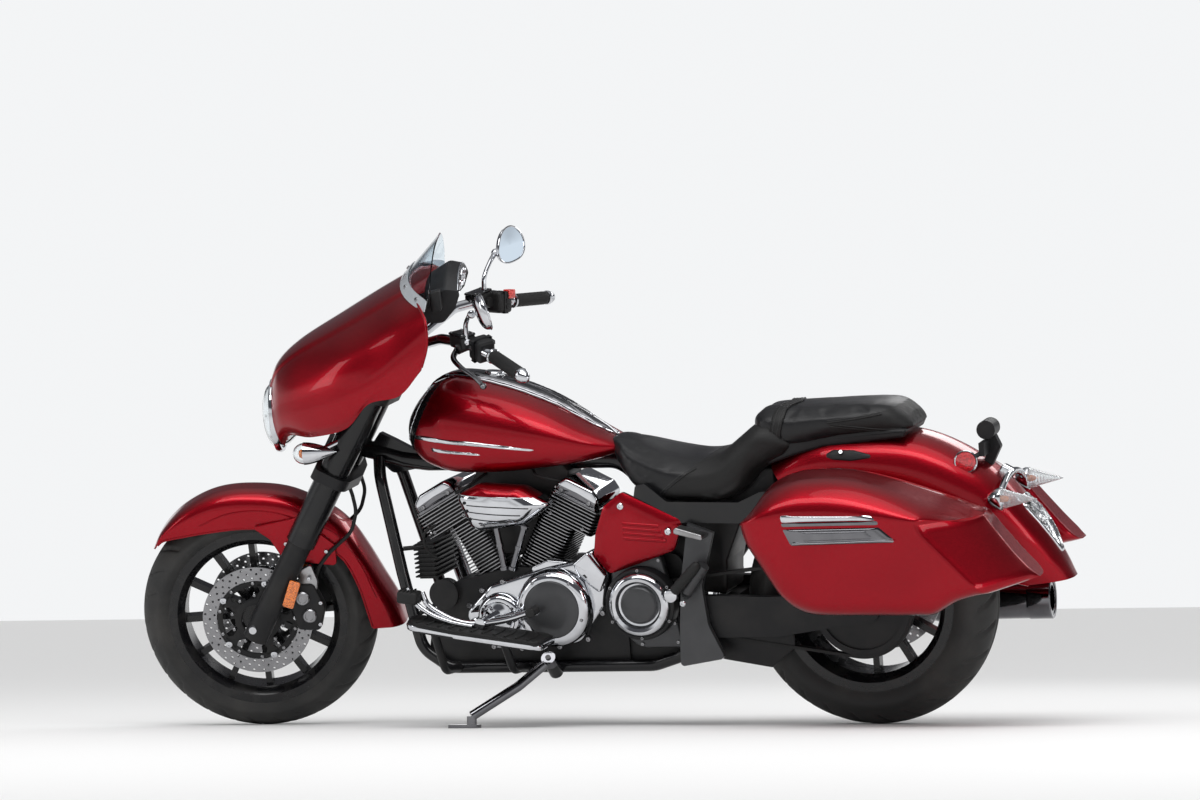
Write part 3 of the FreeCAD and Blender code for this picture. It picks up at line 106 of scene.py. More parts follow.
class Shell:
    """Points of a surface in drawing millimetres, and faces of four corners, or three and a -1."""

    def __init__(self, points, faces):
        self.points = np.asarray(points, float).reshape(-1, 3)
        self.faces = np.asarray(faces, int).reshape(-1, 4)

    def __add__(self, other):
        shift = np.where(other.faces >= 0, other.faces + len(self.points), -1)
        return Shell(np.vstack([self.points, other.points]), np.vstack([self.faces, shift]))

    def moved(self, matrix):
        return Shell(self.points @ np.asarray(matrix)[:3, :3].T + np.asarray(matrix)[:3, 3], self.faces)

    def mirrored(self):
        quads = self.faces[:, 3] >= 0
        turned = np.where(quads[:, None], self.faces[:, ::-1], self.faces[:, [2, 1, 0, 3]])
        return Shell(self.points * np.array([1.0, -1.0, 1.0]), turned)

    def both(self):
        return self + self.mirrored()

    def split(self, inside):
        """Two shells: the faces whose middles pass a test, and the others."""
        corners = np.where(self.faces[:, 3:] < 0, self.faces[:, [0, 1, 2, 2]], self.faces)
        keep = inside(self.points[corners].mean(1))
        return Shell(self.points, self.faces[keep]), Shell(self.points, self.faces[~keep])

    def repeated(self, points):
        """Its faces over stacked copies of its points."""
        step = np.arange(len(points))[:, None, None] * len(self.points)
        return Shell(points, np.where(self.faces >= 0, self.faces + step, -1))

    def mesh(self, name):
        """New mesh of Blender's with these points and faces."""
        mesh = bpy.data.meshes.new(name)
        faces = [row if row[3] >= 0 else row[:3] for row in self.faces.tolist()]
        mesh.from_pydata(self.points.tolist(), [], faces)
        return mesh


def total(shells):
    """One shell out of several."""
    result = shells[0]
    for shell in shells[1:]:
        result = result + shell
    return result


def doubled(parts):
    """Each part with its mirror image."""
    return [(shell.both(), name) for shell, name in parts]


def on_side(parts, drawn):
    """The parts as they are drawn, or else their mirror images."""
    return [(shell if drawn else shell.mirrored(), name) for shell, name in parts]


def fair(rows, at):
    """Smooth curve through table rows whose first column is the station: cubic Hermite pieces,
    each slope the chord slopes beside it, weighted by the spans across from them."""
    rows = np.asarray(rows, float)
    x, y = rows[:, 0], rows[:, 1:]
    span = np.diff(x)[:, None]
    chord = np.diff(y, axis=0) / span
    slope = np.empty_like(y)
    slope[0], slope[-1] = chord[0], chord[-1]
    slope[1:-1] = (chord[:-1] * span[1:] + chord[1:] * span[:-1]) / (span[:-1] + span[1:])
    at = np.asarray(at, float)
    k = np.clip(np.searchsorted(x, at, side="right") - 1, 0, len(x) - 2)
    d = span[k]
    t = (at - x[k])[:, None] / d
    return ((1 + 2 * t) * (1 - t) ** 2 * y[k] + t * (1 - t) ** 2 * d * slope[k]
            + t * t * (3 - 2 * t) * y[k + 1] + t * t * (t - 1) * d * slope[k + 1])


def smoothstep(low, high, value):
    """0 at low, 1 at high, level at both ends and held outside."""
    t = np.clip((value - low) / (high - low), 0, 1)
    return t * t * (3 - 2 * t)


def grid(points, around=False, capped=False, ringed=False):
    """Faces over a grid of points: `around` joins the last column to the first, `ringed` the last
    row to the first, and `capped` closes the first and last rows with fans to their middles."""
    rows, cols = points.shape[:2]
    i = np.arange(rows if ringed else rows - 1)[:, None]
    j = np.arange(cols if around else cols - 1)[None, :]
    i2, j2 = (i + 1) % rows, (j + 1) % cols
    faces = np.stack(np.broadcast_arrays(i * cols + j, i * cols + j2, i2 * cols + j2, i2 * cols + j), -1)
    faces = faces.reshape(-1, 4)
    flat = points.reshape(-1, 3)
    if capped:
        a = np.arange(cols)
        b = (a + 1) % cols
        size = len(flat)
        none = np.full(cols, -1)
        first = np.stack([np.full(cols, size), b, a, none], 1)
        last = np.stack([np.full(cols, size + 1), (rows - 1) * cols + a, (rows - 1) * cols + b, none], 1)
        flat = np.vstack([flat, points[0].mean(0), points[-1].mean(0)])
        faces = np.vstack([faces, first, last])
    return Shell(flat, faces)


def rounded(corners, steps=6):
    """Closed outline with arcs at its corners: rows (u, v[, radius])."""
    out = []
    for k, here in enumerate(corners):
        p = np.array(here[:2], float)
        if len(here) < 3 or here[2] <= 0:
            out.append(p[None])
            continue
        a = unit(np.array(corners[k - 1][:2], float) - p)
        b = unit(np.array(corners[(k + 1) % len(corners)][:2], float) - p)
        half = math.acos(np.clip(a @ b, -1, 1)) / 2
        reach = here[2] / math.tan(half)
        middle = p + unit(a + b) * here[2] / math.sin(half)
        start, end = p + a * reach - middle, p + b * reach - middle
        turn = math.atan2(start[0] * end[1] - start[1] * end[0], start @ end)
        t = np.linspace(0, turn, steps)
        out.append(middle + np.cos(t)[:, None] * start + np.sin(t)[:, None] * np.array([-start[1], start[0]]))
    return np.vstack(out)


def rect(u0, v0, u1, v1, radius, steps=4):
    """Rounded rectangle between two opposite corners."""
    return rounded([(u0, v0, radius), (u1, v0, radius), (u1, v1, radius), (u0, v1, radius)], steps)


def inset(outline, amount):
    """Closed outline moved inwards along its normals by one amount."""
    ahead = units(np.roll(outline, -1, 0) - outline)
    mean = ahead + np.roll(ahead, 1, 0)
    x, y = outline.T
    sense = np.sign(np.sum(x * np.roll(y, -1) - np.roll(x, -1) * y))
    normal = np.stack([-mean[:, 1], mean[:, 0]], 1)
    normal /= np.maximum(np.linalg.norm(normal, axis=1), 1e-6)[:, None]
    return outline + sense * normal * amount


def prism(outline, origin, u, v, depth, edge=1.5, bends=3):
    """Outline in the plane of u and v carried along their normal by depth. Near each end the rings
    move in by a quarter round: edge (1 - cos a) inwards at edge (1 - sin a) from the end."""
    origin, u, v = np.asarray(origin, float), unit(u), unit(v)
    angle = np.linspace(0, math.pi / 2, bends + 1)
    low = [(inset(outline, edge * (1 - math.cos(a))), edge * (1 - math.sin(a))) for a in angle[::-1]]
    rings = low + [(ring, depth - height) for ring, height in low[::-1]]
    points = np.stack([origin + r[:, :1] * u + r[:, 1:] * v + np.cross(u, v) * c for r, c in rings])
    return grid(points, around=True, capped=True)


def slab(corners, y_from, y_to, edge=1.5, steps=6):
    """Side-view outline (X, Z[, radius]) carried across from y_from to y_to."""
    return prism(rounded(corners, steps), (0, y_to, 0), (1, 0, 0), (0, 0, 1), y_to - y_from, edge)


def raised(outline, origin, depth, edge=1.5, bends=3):
    """Outline in the plane of the first two axes carried up from an origin by depth."""
    return prism(outline, origin, (1, 0, 0), (0, 1, 0), depth, edge, bends)


def lathe(profile, centre, axis, sides=40, hollow=False):
    """Surface of revolution: rows (along the axis, radius), closed on themselves where hollow."""
    axis = unit(axis)
    side = unit(np.cross(axis, (0.3, 0.2, 1.0) if abs(axis[2]) < 0.9 else (1.0, 0.0, 0.0)))
    rows = np.asarray(profile, float)
    t = turns(sides)[:, None]
    spoke = np.cos(t) * side + np.sin(t) * np.cross(axis, side)
    points = np.asarray(centre, float) + rows[:, :1, None] * axis + rows[:, 1:, None] * spoke[None]
    return grid(points, around=True, capped=not hollow, ringed=hollow)


def turned(centre, radius, y, angle):
    """Points at a radius and an angle about an axis through a centre along Y, and y along it."""
    return np.stack(np.broadcast_arrays(centre[0] + radius * np.cos(angle), centre[1] + y,
                                        centre[2] + radius * np.sin(angle)), -1)


def hoop(profile, centre, sides=64):
    """Closed section (Y, radius) turned round an axle that runs along Y."""
    y, radius = np.asarray(profile, float).T
    return grid(turned(centre, radius, y, turns(sides)[:, None]), around=True, ringed=True)


def running(points):
    """Rows of points with their running chord length before them."""
    run = np.concatenate([[0], np.cumsum(np.linalg.norm(np.diff(points, axis=0), axis=1))])
    return np.column_stack([run, points])


def curve_through(points, steps):
    """Smooth path through points, by their running chord length."""
    rows = running(np.asarray(points, float))
    return fair(rows, np.linspace(0, rows[-1, 0], steps))


def even(outline, count):
    """Closed outline resampled at even steps of its length."""
    rows = running(np.vstack([outline, outline[:1]]))
    at = np.linspace(0, rows[-1, 0], count, endpoint=False)
    return np.stack([np.interp(at, rows[:, 0], rows[:, k]) for k in (1, 2)], 1)


def outline(*corners):
    """Smooth closed outline of 96 even steps round corners with radii."""
    return even(rounded(corners, 6), 96)


def patch(control, rows, cols, loop=False):
    """Smooth surface through a table of control points: cubic Hermite down the rows and then across
    the columns, which close on themselves where `loop`."""
    control = np.asarray(control, float)
    if loop:
        control = np.concatenate([control[:, -2:], control, control[:, :3]], 1)
    n, m = control.shape[:2]
    down = fair(np.column_stack([np.arange(n), control.reshape(n, -1)]), np.linspace(0, n - 1, rows))
    down = down.reshape(rows, m, 3).transpose(1, 0, 2).reshape(m, -1)
    at = np.linspace(2, m - 3, cols, endpoint=False) if loop else np.linspace(0, m - 1, cols)
    across = fair(np.column_stack([np.arange(m), down]), at)
    return across.reshape(cols, rows, 3).transpose(1, 0, 2)


def both_halves(control):
    """Control rows that run from the centre plane out to the left, with their mirror image before them."""
    control = np.asarray(control, float)
    return np.concatenate([control[:, :0:-1] * [1, -1, 1], control], 1)


def normals(points, core):
    """Unit normals of a grid of points: cross product of its two directions, away from the core."""
    across = np.cross(np.gradient(points, axis=0), np.gradient(points, axis=1))
    across /= np.maximum(np.linalg.norm(across, axis=2), 1e-9)[..., None]
    return across * (1.0 if np.sum(across * (points - np.asarray(core, float))) > 0 else -1.0)


def sheet(points, wall, core):
    """Closed wall of even thickness: a grid of points, its copy moved back along its normals towards
    the core, and strips that join their rims."""
    back = points - wall * normals(points, core)
    rows, cols = points.shape[:2]
    body = grid(np.concatenate([points, back[:, ::-1]], 1), around=True)
    j = np.arange(cols - 1)
    rim = np.stack([j, j + 1, 2 * cols - 2 - j, 2 * cols - 1 - j], 1)
    return Shell(body.points, np.vstack([body.faces, rim, rim[:, ::-1] + (rows - 1) * 2 * cols]))


def tube(line, along, lean, radius, sides):
    """Circles of points square to a line, their sides set by one leaning direction or rows of them."""
    side = units(np.cross(along, lean))
    t = turns(sides)[:, None]
    return line[:, None] + radius * (np.cos(t) * side[:, None] + np.sin(t) * np.cross(side, along)[:, None])


def pipe_loop(line, radius, sides=8):
    """Thin round hoop along a closed line of points."""
    along = units(np.roll(line, -1, 0) - np.roll(line, 1, 0))
    return grid(tube(line, along, line.mean(0) - line, radius, sides), around=True, ringed=True)


def pipe(points, radius, steps=40, sides=12, lean=(0.0, 1.0, 0.0)):
    """Round bar along a smooth path, with its rings' sides set by one leaning direction that isn't
    along the path. The radius is one number or rows along the path."""
    path = curve_through(points, steps)
    along = units(np.gradient(path, axis=0))
    if np.linalg.norm(np.cross(along, lean), axis=1).min() < 0.05:
        lean = (0.6, 0.0, 0.8)
    size = np.interp(np.linspace(0, 1, steps), np.linspace(0, 1, np.size(radius)), np.atleast_1d(radius))
    return grid(tube(path, along, lean, size[:, None, None], sides), around=True, capped=True)


def around_axle(shell, centre, count, start=0.0):
    """Copies of a shell turned round an axis through a centre along Y."""
    t = math.radians(start) + np.arange(count) * math.tau / count
    c, s, zero = np.cos(t), np.sin(t), 0 * t
    turn = np.stack([c, zero, s, zero, 1 + zero, zero, -s, zero, c], -1).reshape(count, 3, 3)
    return shell.repeated(np.einsum("kij,nj->kni", turn, shell.points - centre) + centre)


def bolt(place, axis, radius=5.0, height=4.0, sides=6):
    """Domed or hexagon bolt head that stands on a place along an axis."""
    return lathe([(-1, radius), (height * 0.7, radius), (height, radius * 0.8), (height, radius * 0.45),
                  (height * 0.5, radius * 0.4)], place, axis, sides)


def bolts(places, axis, *size):
    """Like bolt heads on several places."""
    return total([bolt(place, axis, *size) for place in places])


FACES = {"left": ((0, 2), LEFT), "top": ((0, 1), UP), "rear": ((1, 2), (1, 0, 0))}
ARC = 110.0


def nearest(flat, spots):
    """Four nearest flat points to each spot, and their weights by inverse square distance."""
    near, away = [], []
    for some in np.array_split(spots, max(1, len(spots) // 400)):
        far = np.sum((flat[None] - some[:, None]) ** 2, 2)
        index = np.argpartition(far, 4, axis=1)[:, :4]
        near.append(index)
        away.append(np.take_along_axis(far, index, 1))
    weight = 1 / (np.vstack(away) + 0.05)
    return np.vstack(near), (weight / weight.sum(1, keepdims=True))[..., None]


class Skin:
    """Surface that trim is laid on: its points and outward unit normals, seen square on from one face."""

    def __init__(self, points, core=None, out=None):
        out = normals(points, core) if out is None else out
        self.points, self.out = points.reshape(-1, 3), out.reshape(-1, 3)

    def at(self, spots, face="left"):
        """Places and normals at spots of that view: the mean of the nearest points that face it."""
        axes, facing = FACES[face]
        keep = self.out @ np.array(facing, float) > 0.08
        spots = np.asarray(spots, float).reshape(-1, 2)
        near, weight = nearest(self.points[keep][:, axes], spots)
        place = np.sum(self.points[keep][near] * weight, 1)
        place[:, axes] = spots
        return place, units(np.sum(self.out[keep][near] * weight, 1))

    def wrapped(self, x, turn, middle):
        """Places and normals at stations along X and angles from straight up about a line at a height,
        where one radian counts as ARC millimetres."""
        around = np.arctan2(-self.points[:, 1], self.points[:, 2] - middle)
        near, weight = nearest(np.stack([self.points[:, 0], ARC * around], 1),
                               np.stack([x.ravel(), ARC * turn.ravel()], 1))
        return [np.sum(rows[near] * weight, 1).reshape(x.shape + (3,)) for rows in (self.points, self.out)]

    def inlay(self, outline, height, face="left", rings=7, sunk=2.0, dome=6.0):
        """Plate that follows the surface inside an outline: rings shrink from the outline to its
        middle, lifted by height (1 - s^dome), over a flat sunk back."""
        outline = np.asarray(outline, float)
        middle = outline.mean(0)
        share = 1 - np.linspace(0.95, 0.0, rings) ** 2
        place, normal = self.at(middle + share[:, None, None] * (outline - middle), face)
        place, normal = place.reshape(rings, -1, 3), normal.reshape(rings, -1, 3)
        top = place + normal * (height * (1 - share ** dome))[:, None, None]
        return grid(np.concatenate([top, (place - normal * sunk)[::-1]]), around=True, capped=True)

    def bead(self, path, radius, lift=0.0, steps=60, sides=8, face="left"):
        """Round bead laid on the surface along a smooth path of that view."""
        place, normal = self.at(curve_through(path, steps), face)
        return pipe(place + normal * lift, radius, steps, sides, lean=normal.mean(0))


# Finishes

def plug(tree, slot, value):
    """Link a wire to a socket, or set the socket's own value."""
    if isinstance(value, Wire):
        tree.links.new(value.socket, slot)
    else:
        slot.default_value = value


def blend(tree, factor, first, second):
    """Colour between two colours of three numbers."""
    node = tree.nodes.new("ShaderNodeMix")
    node.data_type = "RGBA"
    for slot, value in zip((0, 6, 7), (factor, (*first[:3], 1.0), (*second[:3], 1.0))):
        plug(tree, node.inputs[slot], value)
    return Wire(tree, node.outputs[2])


class Wire:
    """A shader socket in sums: each operator adds one Math node."""

    def __init__(self, tree, socket):
        self.tree, self.socket = tree, socket

    def join(self, kind, *values):
        node = self.tree.nodes.new("ShaderNodeMath")
        node.operation = kind
        for slot, value in zip(node.inputs, values):
            plug(self.tree, slot, value)
        return Wire(self.tree, node.outputs[0])

    def __add__(self, other):
        return self.join("ADD", self, other)

    def __sub__(self, other):
        return self.join("SUBTRACT", self, other)

    def __rsub__(self, other):
        return self.join("SUBTRACT", other, self)

    def __mul__(self, other):
        return self.join("MULTIPLY", self, other)

    def fade(self, low, high):
        """0 at low, 1 at high, straight between and held outside."""
        node = self.tree.nodes.new("ShaderNodeMapRange")
        node.inputs["From Min"].default_value = low
        node.inputs["From Max"].default_value = high
        self.tree.links.new(self.socket, node.inputs["Value"])
        return Wire(self.tree, node.outputs[0])


class Finish:
    """One material: a Principled surface with its fixed numbers, and what is wired to it."""

    def __init__(self, name, colour, rough, metal=0.0, fixed=None):
        self.material = bpy.data.materials.new(name)
        self.material.use_nodes = True
        self.tree = self.material.node_tree
        self.surface = self.tree.nodes["Principled BSDF"]
        self.colour = colour
        numbers = {"Base Color": (*colour, 1.0), "Roughness": rough, "Metallic": metal, **(fixed or {})}
        for key, value in numbers.items():
            self.surface.inputs[key].default_value = value
        self.place = self.node("ShaderNodeTexCoord", output="Object")

    def node(self, kind, sockets=None, output=0, **settings):
        """Output of a new node with its settings and the values or wires of its sockets."""
        node = self.tree.nodes.new(kind)
        for key, value in settings.items():
            setattr(node, key, value)
        for key, value in (sockets or {}).items():
            plug(self.tree, node.inputs[key], value)
        return Wire(self.tree, node.outputs[output])

    def noise(self, scale, detail=3.0, rough=0.5, at=None):
        return self.node("ShaderNodeTexNoise", {"Vector": at or self.place, "Scale": scale, "Detail": detail,
                                                "Roughness": rough})

    def cells(self, scale, feature="F1", output="Distance"):
        return self.node("ShaderNodeTexVoronoi", {"Vector": self.place, "Scale": scale}, output, feature=feature)

    def facets(self, scale):
        """One random tone for each cell."""
        return self.node("ShaderNodeSeparateColor", {"Color": self.cells(scale, output="Color")})

    def mix(self, factor, first, second):
        """Base colour between two colours."""
        return self.feed("Base Color", blend(self.tree, factor, first, second))

    def rough(self, wire):
        return self.feed("Roughness", wire)

    def feed(self, name, wire):
        self.tree.links.new(wire.socket, self.surface.inputs[name])
        return self

    def bump(self, height, strength, distance):
        return self.feed("Normal", self.node("ShaderNodeBump", {"Height": height, "Strength": strength,
                                                                "Distance": distance}))


FINISHES = {}


def finish(name):
    """The named finish, made the first time that it is asked for."""
    if name not in FINISHES:
        FINISHES[name] = coating(*COATINGS[name]) if name in COATINGS else MAKERS[name]()
    return FINISHES[name].material


def shade(slot):
    """Base colour of one of the record's material slots."""
    return next(tuple(row["base_color"][:3]) for row in frame["record"]["materials"] if row["slot"] == slot)


def coating(name, base, patches, colours, grain, rough, bump):
    """Plain finish: two colours in slow patches, and fine grain in the roughness and the relief."""
    f = Finish(name, *base)
    slow = f.noise(*patches[:2])
    fine = (f.noise(*grain) if len(grain) > 1 else f.cells(*grain)) if grain else slow
    f.mix(slow.fade(*patches[2:]) if patches[2:] else slow, *colours)
    if rough:
        f.rough(sum_of([(slow, rough[0]), (fine, rough[1])]) + rough[2])
    return f.bump(fine, *bump) if bump else f


def sum_of(terms):
    """Sum of wires times their shares, without those whose share is nothing."""
    first, *rest = [wire * share for wire, share in terms if share]
    return first + rest[0] if rest else first


# Material's name; colour, roughness, metal and fixed numbers; patches: scale, detail and the ends they fade
# between; their two colours; grain: scale and detail, or the scale of cells; shares of patches and grain in the
# roughness, and the rest of it; strength and distance of the grain's relief
COATINGS = {
    "gloss_black": ("gloss_black", ((0.006, 0.006, 0.007), 0.22, 0.0, {
        "Coat Weight": 0.35, "Coat Roughness": 0.08, "Specular IOR Level": 0.22}), (18, 4, 0.5, 0.8),
        ((0.005, 0.005, 0.006), (0.014, 0.014, 0.013)), (300, 2), (0.15, 0, 0.15), (0.05, 0.0002)),
    "satin_black": ("satin_black", ((0.012, 0.012, 0.013), 0.42, 0.0, {"Specular IOR Level": 0.28}),
        (12, 4, 0.45, 0.85), ((0.008, 0.008, 0.009), (0.022, 0.021, 0.020)), (420, 3), (0.15, 0.2, 0.26),
        (0.18, 0.0004)),
    "wheel_black": ("wheel_black", ((0.006, 0.006, 0.007), 0.22, 0.0, {
        "Coat Weight": 0.4, "Coat Roughness": 0.1, "Specular IOR Level": 0.22}), (25, 4, 0.45, 0.8),
        ((0.005, 0.005, 0.006), (0.020, 0.019, 0.018)), (), (0.3, 0, 0.12), ()),
    "engine_black": ("engine_black", ((0.010, 0.010, 0.011), 0.45, 0.2, {"Specular IOR Level": 0.3}),
        (14, 4, 0.4, 0.8), ((0.008, 0.008, 0.009), (0.026, 0.025, 0.024)), (500, 3), (0.25, 0, 0.3),
        (0.25, 0.0005)),
    "black_plastic": ("black_plastic", ((0.010, 0.010, 0.011), 0.45, 0.0, {"Specular IOR Level": 0.3}), (15, 3),
        ((0.007, 0.007, 0.008), (0.016, 0.016, 0.017)), (900,), (0, 0.2, 0.36), (0.2, 0.0003)),
    "soft_rubber": ("soft_rubber", ((0.010, 0.010, 0.010), 0.6, 0.0, {"Specular IOR Level": 0.3}), (20, 3),
        ((0.007, 0.007, 0.007), (0.018, 0.018, 0.018)), (600, 3), (0, 0.2, 0.5), (0.25, 0.0004)),
    "thread": ("seat_thread", ((0.03, 0.03, 0.03), 0.7), (800, 3), ((0.02, 0.02, 0.02), (0.05, 0.05, 0.05)),
        (1500, 3), (), (0.3, 0.0002)),
    "cast_metal": ("cast_metal", ((0.42, 0.42, 0.43), 0.35, 1.0), (16, 4, 0.35, 0.75),
        ((0.40, 0.40, 0.41), (0.24, 0.236, 0.232)), (500, 3), (0.25, 0, 0.2), (0.25, 0.0005)),
    "grey_cover": ("grey_cover", ((0.060, 0.061, 0.064), 0.38, 0.55), (20, 3),
        ((0.045, 0.046, 0.049), (0.075, 0.076, 0.079)), (700, 2), (0, 0.12, 0.32), (0.15, 0.0003)),
    "brushed": ("brushed_steel", ((0.28, 0.28, 0.29), 0.28, 1.0), (30, 4), ((0.22, 0.22, 0.23), (0.35, 0.35, 0.36)),
        (900, 2), (0, 0.2, 0.18), (0.10, 0.0002)),
    "plated": ("plated_band", ((0.62, 0.66, 0.70), 0.16, 0.55), (40, 4), ((0.56, 0.60, 0.64), (0.70, 0.73, 0.76)),
        (), (0.14, 0, 0.10), ()),
    "dial_face": ("dial_face", ((0.02, 0.025, 0.03), 0.25, 0.0, {"Coat Weight": 1.0, "Coat Roughness": 0.02}),
        (50, 3), ((0.015, 0.018, 0.02), (0.03, 0.035, 0.04)), (), (), ()),
}


def candy_red():
    """Candy red under clear coat: fine metal flake in colour and tilt, and slow waves in the coat."""
    wet = {"Coat Weight": 0.9, "Coat Roughness": 0.03, "Coat IOR": 1.26, "Specular IOR Level": 0.1}
    f = Finish("candy_red", shade("red_paint"), 0.28, 0.9, wet)
    sparkle = f.facets(2600.0)
    paint = [c * k for c, k in zip(f.colour, (0.74, 0.30, 0.50))]
    deep, lit = tuple(c * 0.55 for c in paint), tuple(c * 1.3 for c in paint)
    f.mix(sparkle * 0.6 + f.noise(6.0, 2.0) * 0.4, deep, lit).rough(sparkle * 0.18 + 0.24)
    return f.bump(sparkle * 0.05 + f.noise(40.0, 1.0) * 0.4, 0.04, 0.0003)


def chrome():
    """Bright plating: nearly a mirror, with faint wipe marks in its roughness."""
    f = Finish("chrome", (0.60, 0.61, 0.63), 0.05, 1.0)
    wiped = f.node("ShaderNodeMapping", {"Vector": f.place, "Scale": (1.0, 3.0, 1.0)})
    smear = f.noise(30.0, 5.0, 0.6, wiped)
    return f.mix(smear, (0.52, 0.53, 0.56), (0.66, 0.67, 0.69)).rough(smear.fade(0.35, 0.9) * 0.10 + 0.03)


def dark_chrome():
    """The same, plated dark."""
    f = Finish("dark_chrome", (0.16, 0.16, 0.17), 0.08, 1.0)
    smear = f.noise(22.0, 5.0)
    return f.mix(smear, (0.12, 0.12, 0.13), (0.22, 0.22, 0.23)).rough(smear.fade(0.35, 0.9) * 0.14 + 0.05)


def tyre_rubber():
    """Tyre: fine matte grain, paler where road dust lies in its pores."""
    f = Finish("tyre_rubber", (0.022, 0.022, 0.022), 0.62, 0.0, {"Specular IOR Level": 0.35})
    dust, pores = f.noise(9.0, 5.0), f.noise(700.0, 3.0)
    f.mix(dust.fade(0.42, 0.85) * pores, (0.018, 0.018, 0.018), (0.085, 0.080, 0.074)).rough(dust * 0.25 + 0.5)
    return f.bump(pores + f.cells(160.0) * 0.2, 0.25, 0.0005)


def leather():
    """Black leather: pebbles from cell distances, broken by slow creases, glossier on the rubbed tops."""
    f = Finish("seat_leather", shade("seat_leather"), 0.42, 0.0, {"Specular IOR Level": 0.32})
    pebble = f.cells(620.0, "DISTANCE_TO_EDGE").fade(0.0, 0.25)
    crease = f.noise(35.0, 6.0, 0.65)
    f.mix(pebble * 0.6 + crease * 0.4, (0.004, 0.004, 0.004), (0.015, 0.0145, 0.0145))
    f.rough(0.48 - pebble * 0.1 + crease * 0.12)
    return f.bump(pebble * 0.6 + f.noise(90.0, 2.0) * 0.3 + crease * 0.5, 0.35, 0.0007)


def smooth_leather():
    """The seat's sitting panel: the same hide, pressed nearly smooth."""
    f = Finish("smooth_leather", shade("seat_leather"), 0.34, 0.0, {"Specular IOR Level": 0.34})
    crease = f.noise(28.0, 6.0, 0.6)
    pebble = f.cells(700.0, "DISTANCE_TO_EDGE").fade(0.0, 0.2)
    f.mix(crease, (0.004, 0.004, 0.005), (0.012, 0.012, 0.013)).rough(crease * 0.16 + 0.26)
    return f.bump(pebble * 0.25 + crease * 0.5, 0.22, 0.0006)


def clear_screen():
    """Clear screen: thin smoke-blue plastic with faint wipe marks."""
    f = Finish("clear_screen", (0.80, 0.88, 0.93), 0.02, 0.0, {"Transmission Weight": 1.0, "IOR": 1.28})
    return f.rough(f.noise(14.0, 5.0).fade(0.5, 0.95) * 0.08 + 0.01)


def clear_lens(name="clear_lens", through=1.0):
    """Clear moulded lens, with a slight pebble inside."""
    f = Finish(name, (0.95, 0.97, 0.98), 0.02, 0.0, {"Transmission Weight": through, "IOR": 1.3})
    return f.rough(f.noise(60.0, 3.0) * 0.03).bump(f.cells(180.0), 0.05, 0.0003)


def tinted(name, colour):
    """Coloured plastic of lenses, in small facets."""
    f = Finish(name, colour, 0.12, 0.0, {"Coat Weight": 0.8, "Coat Roughness": 0.04, "Specular IOR Level": 0.7})
    light = f.facets(420.0)
    f.mix(light, tuple(c * 0.45 for c in colour), tuple(min(1.0, c * 1.4) for c in colour))
    return f.bump(light, 0.4, 0.0006)


def mirror_glass():
    """Mirror silvered behind a faintly blue glass."""
    f = Finish("mirror_glass", (0.70, 0.80, 0.90), 0.01, 1.0)
    return f.rough(f.noise(40.0, 4.0).fade(0.5, 1.0) * 0.05 + 0.005)


def reflector():
    """Lamp reflector: bright facets, each with its own tilt."""
    f = Finish("lamp_reflector", (0.88, 0.89, 0.90), 0.10, 1.0)
    light = f.facets(95.0)
    return f.mix(light, (0.75, 0.76, 0.78), (0.95, 0.95, 0.95)).bump(light, 0.5, 0.002)


MAKERS = {
    "candy_red": candy_red, "chrome": chrome, "dark_chrome": dark_chrome, "tyre_rubber": tyre_rubber,
    "leather": leather, "smooth_leather": smooth_leather, "clear_screen": clear_screen, "clear_lens": clear_lens,
    "frosted_lens": lambda: clear_lens("frosted_lens", 0.86), "mirror_glass": mirror_glass, "reflector": reflector,
    "amber": lambda: tinted("amber_lens", (0.80, 0.17, 0.01)),
    "red_lens": lambda: tinted("red_lens", (0.55, 0.01, 0.02)),
    "switch_red": lambda: tinted("switch_red", (0.75, 0.03, 0.02)),
}


# Making a piece

def added(name, data):
    """New object of some data, in the scene."""
    item = bpy.data.objects.new(name, data)
    bpy.context.scene.collection.objects.link(item)
    return item


def piece(name, parts, body, replaces=(), crease=38.0):
    """One object that rides on a body: parts are (shell, finish name) rows in drawing millimetres."""
    mesh = total([row[0] for row in parts]).moved(PLACES.get(body, BIKE)).mesh(name)
    names = list(dict.fromkeys(row[1] for row in parts))
    for label in names:
        mesh.materials.append(finish(label))
    index = np.concatenate([np.full(len(row[0].faces), names.index(row[1])) for row in parts])
    mesh.polygons.foreach_set("material_index", index.astype(np.int32))
    work = bmesh.new()
    work.from_mesh(mesh)
    bmesh.ops.remove_doubles(work, verts=work.verts, dist=1e-6)
    bmesh.ops.recalc_face_normals(work, faces=work.faces)
    work.to_mesh(mesh)
    work.free()
    mesh.shade_smooth()
    mesh.set_sharp_from_angle(angle=math.radians(crease))
    item = added(name, mesh)
    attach(item, body)
    if replaces:
        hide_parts(*replaces)


def dress(node, name):
    """Give a CAD node its finish."""
    mesh = frame["nodes"][node].data
    mesh.materials.clear()
    mesh.materials.append(finish(name))
    mesh.polygons.foreach_set("material_index", np.zeros(len(mesh.polygons), np.int32))


# The CAD nodes that stay in sight, by finish
DRESSES = {
    "gloss_black": ["frame_spine", "frame_cradles", "fork_shrouds"],
    "grey_cover": ["pivot_plates"],
    "satin_black": ["swingarm", "engine_case", "horn", "plate_bracket", "footboards", "triple_clamps", "fork_sliders",
                    "rear_pulley"],
    "chrome": ["rear_axle", "front_axle", "handlebar"],
    "soft_rubber": ["drive_belt", "brake_hoses"],
    "engine_black": ["oil_cooler"],
    "dark_chrome": ["exhaust_pipes", "muffler", "stand_leg"],
    "wheel_black": ["front_cast_wheel", "rear_cast_wheel"],
}


# Painted panels

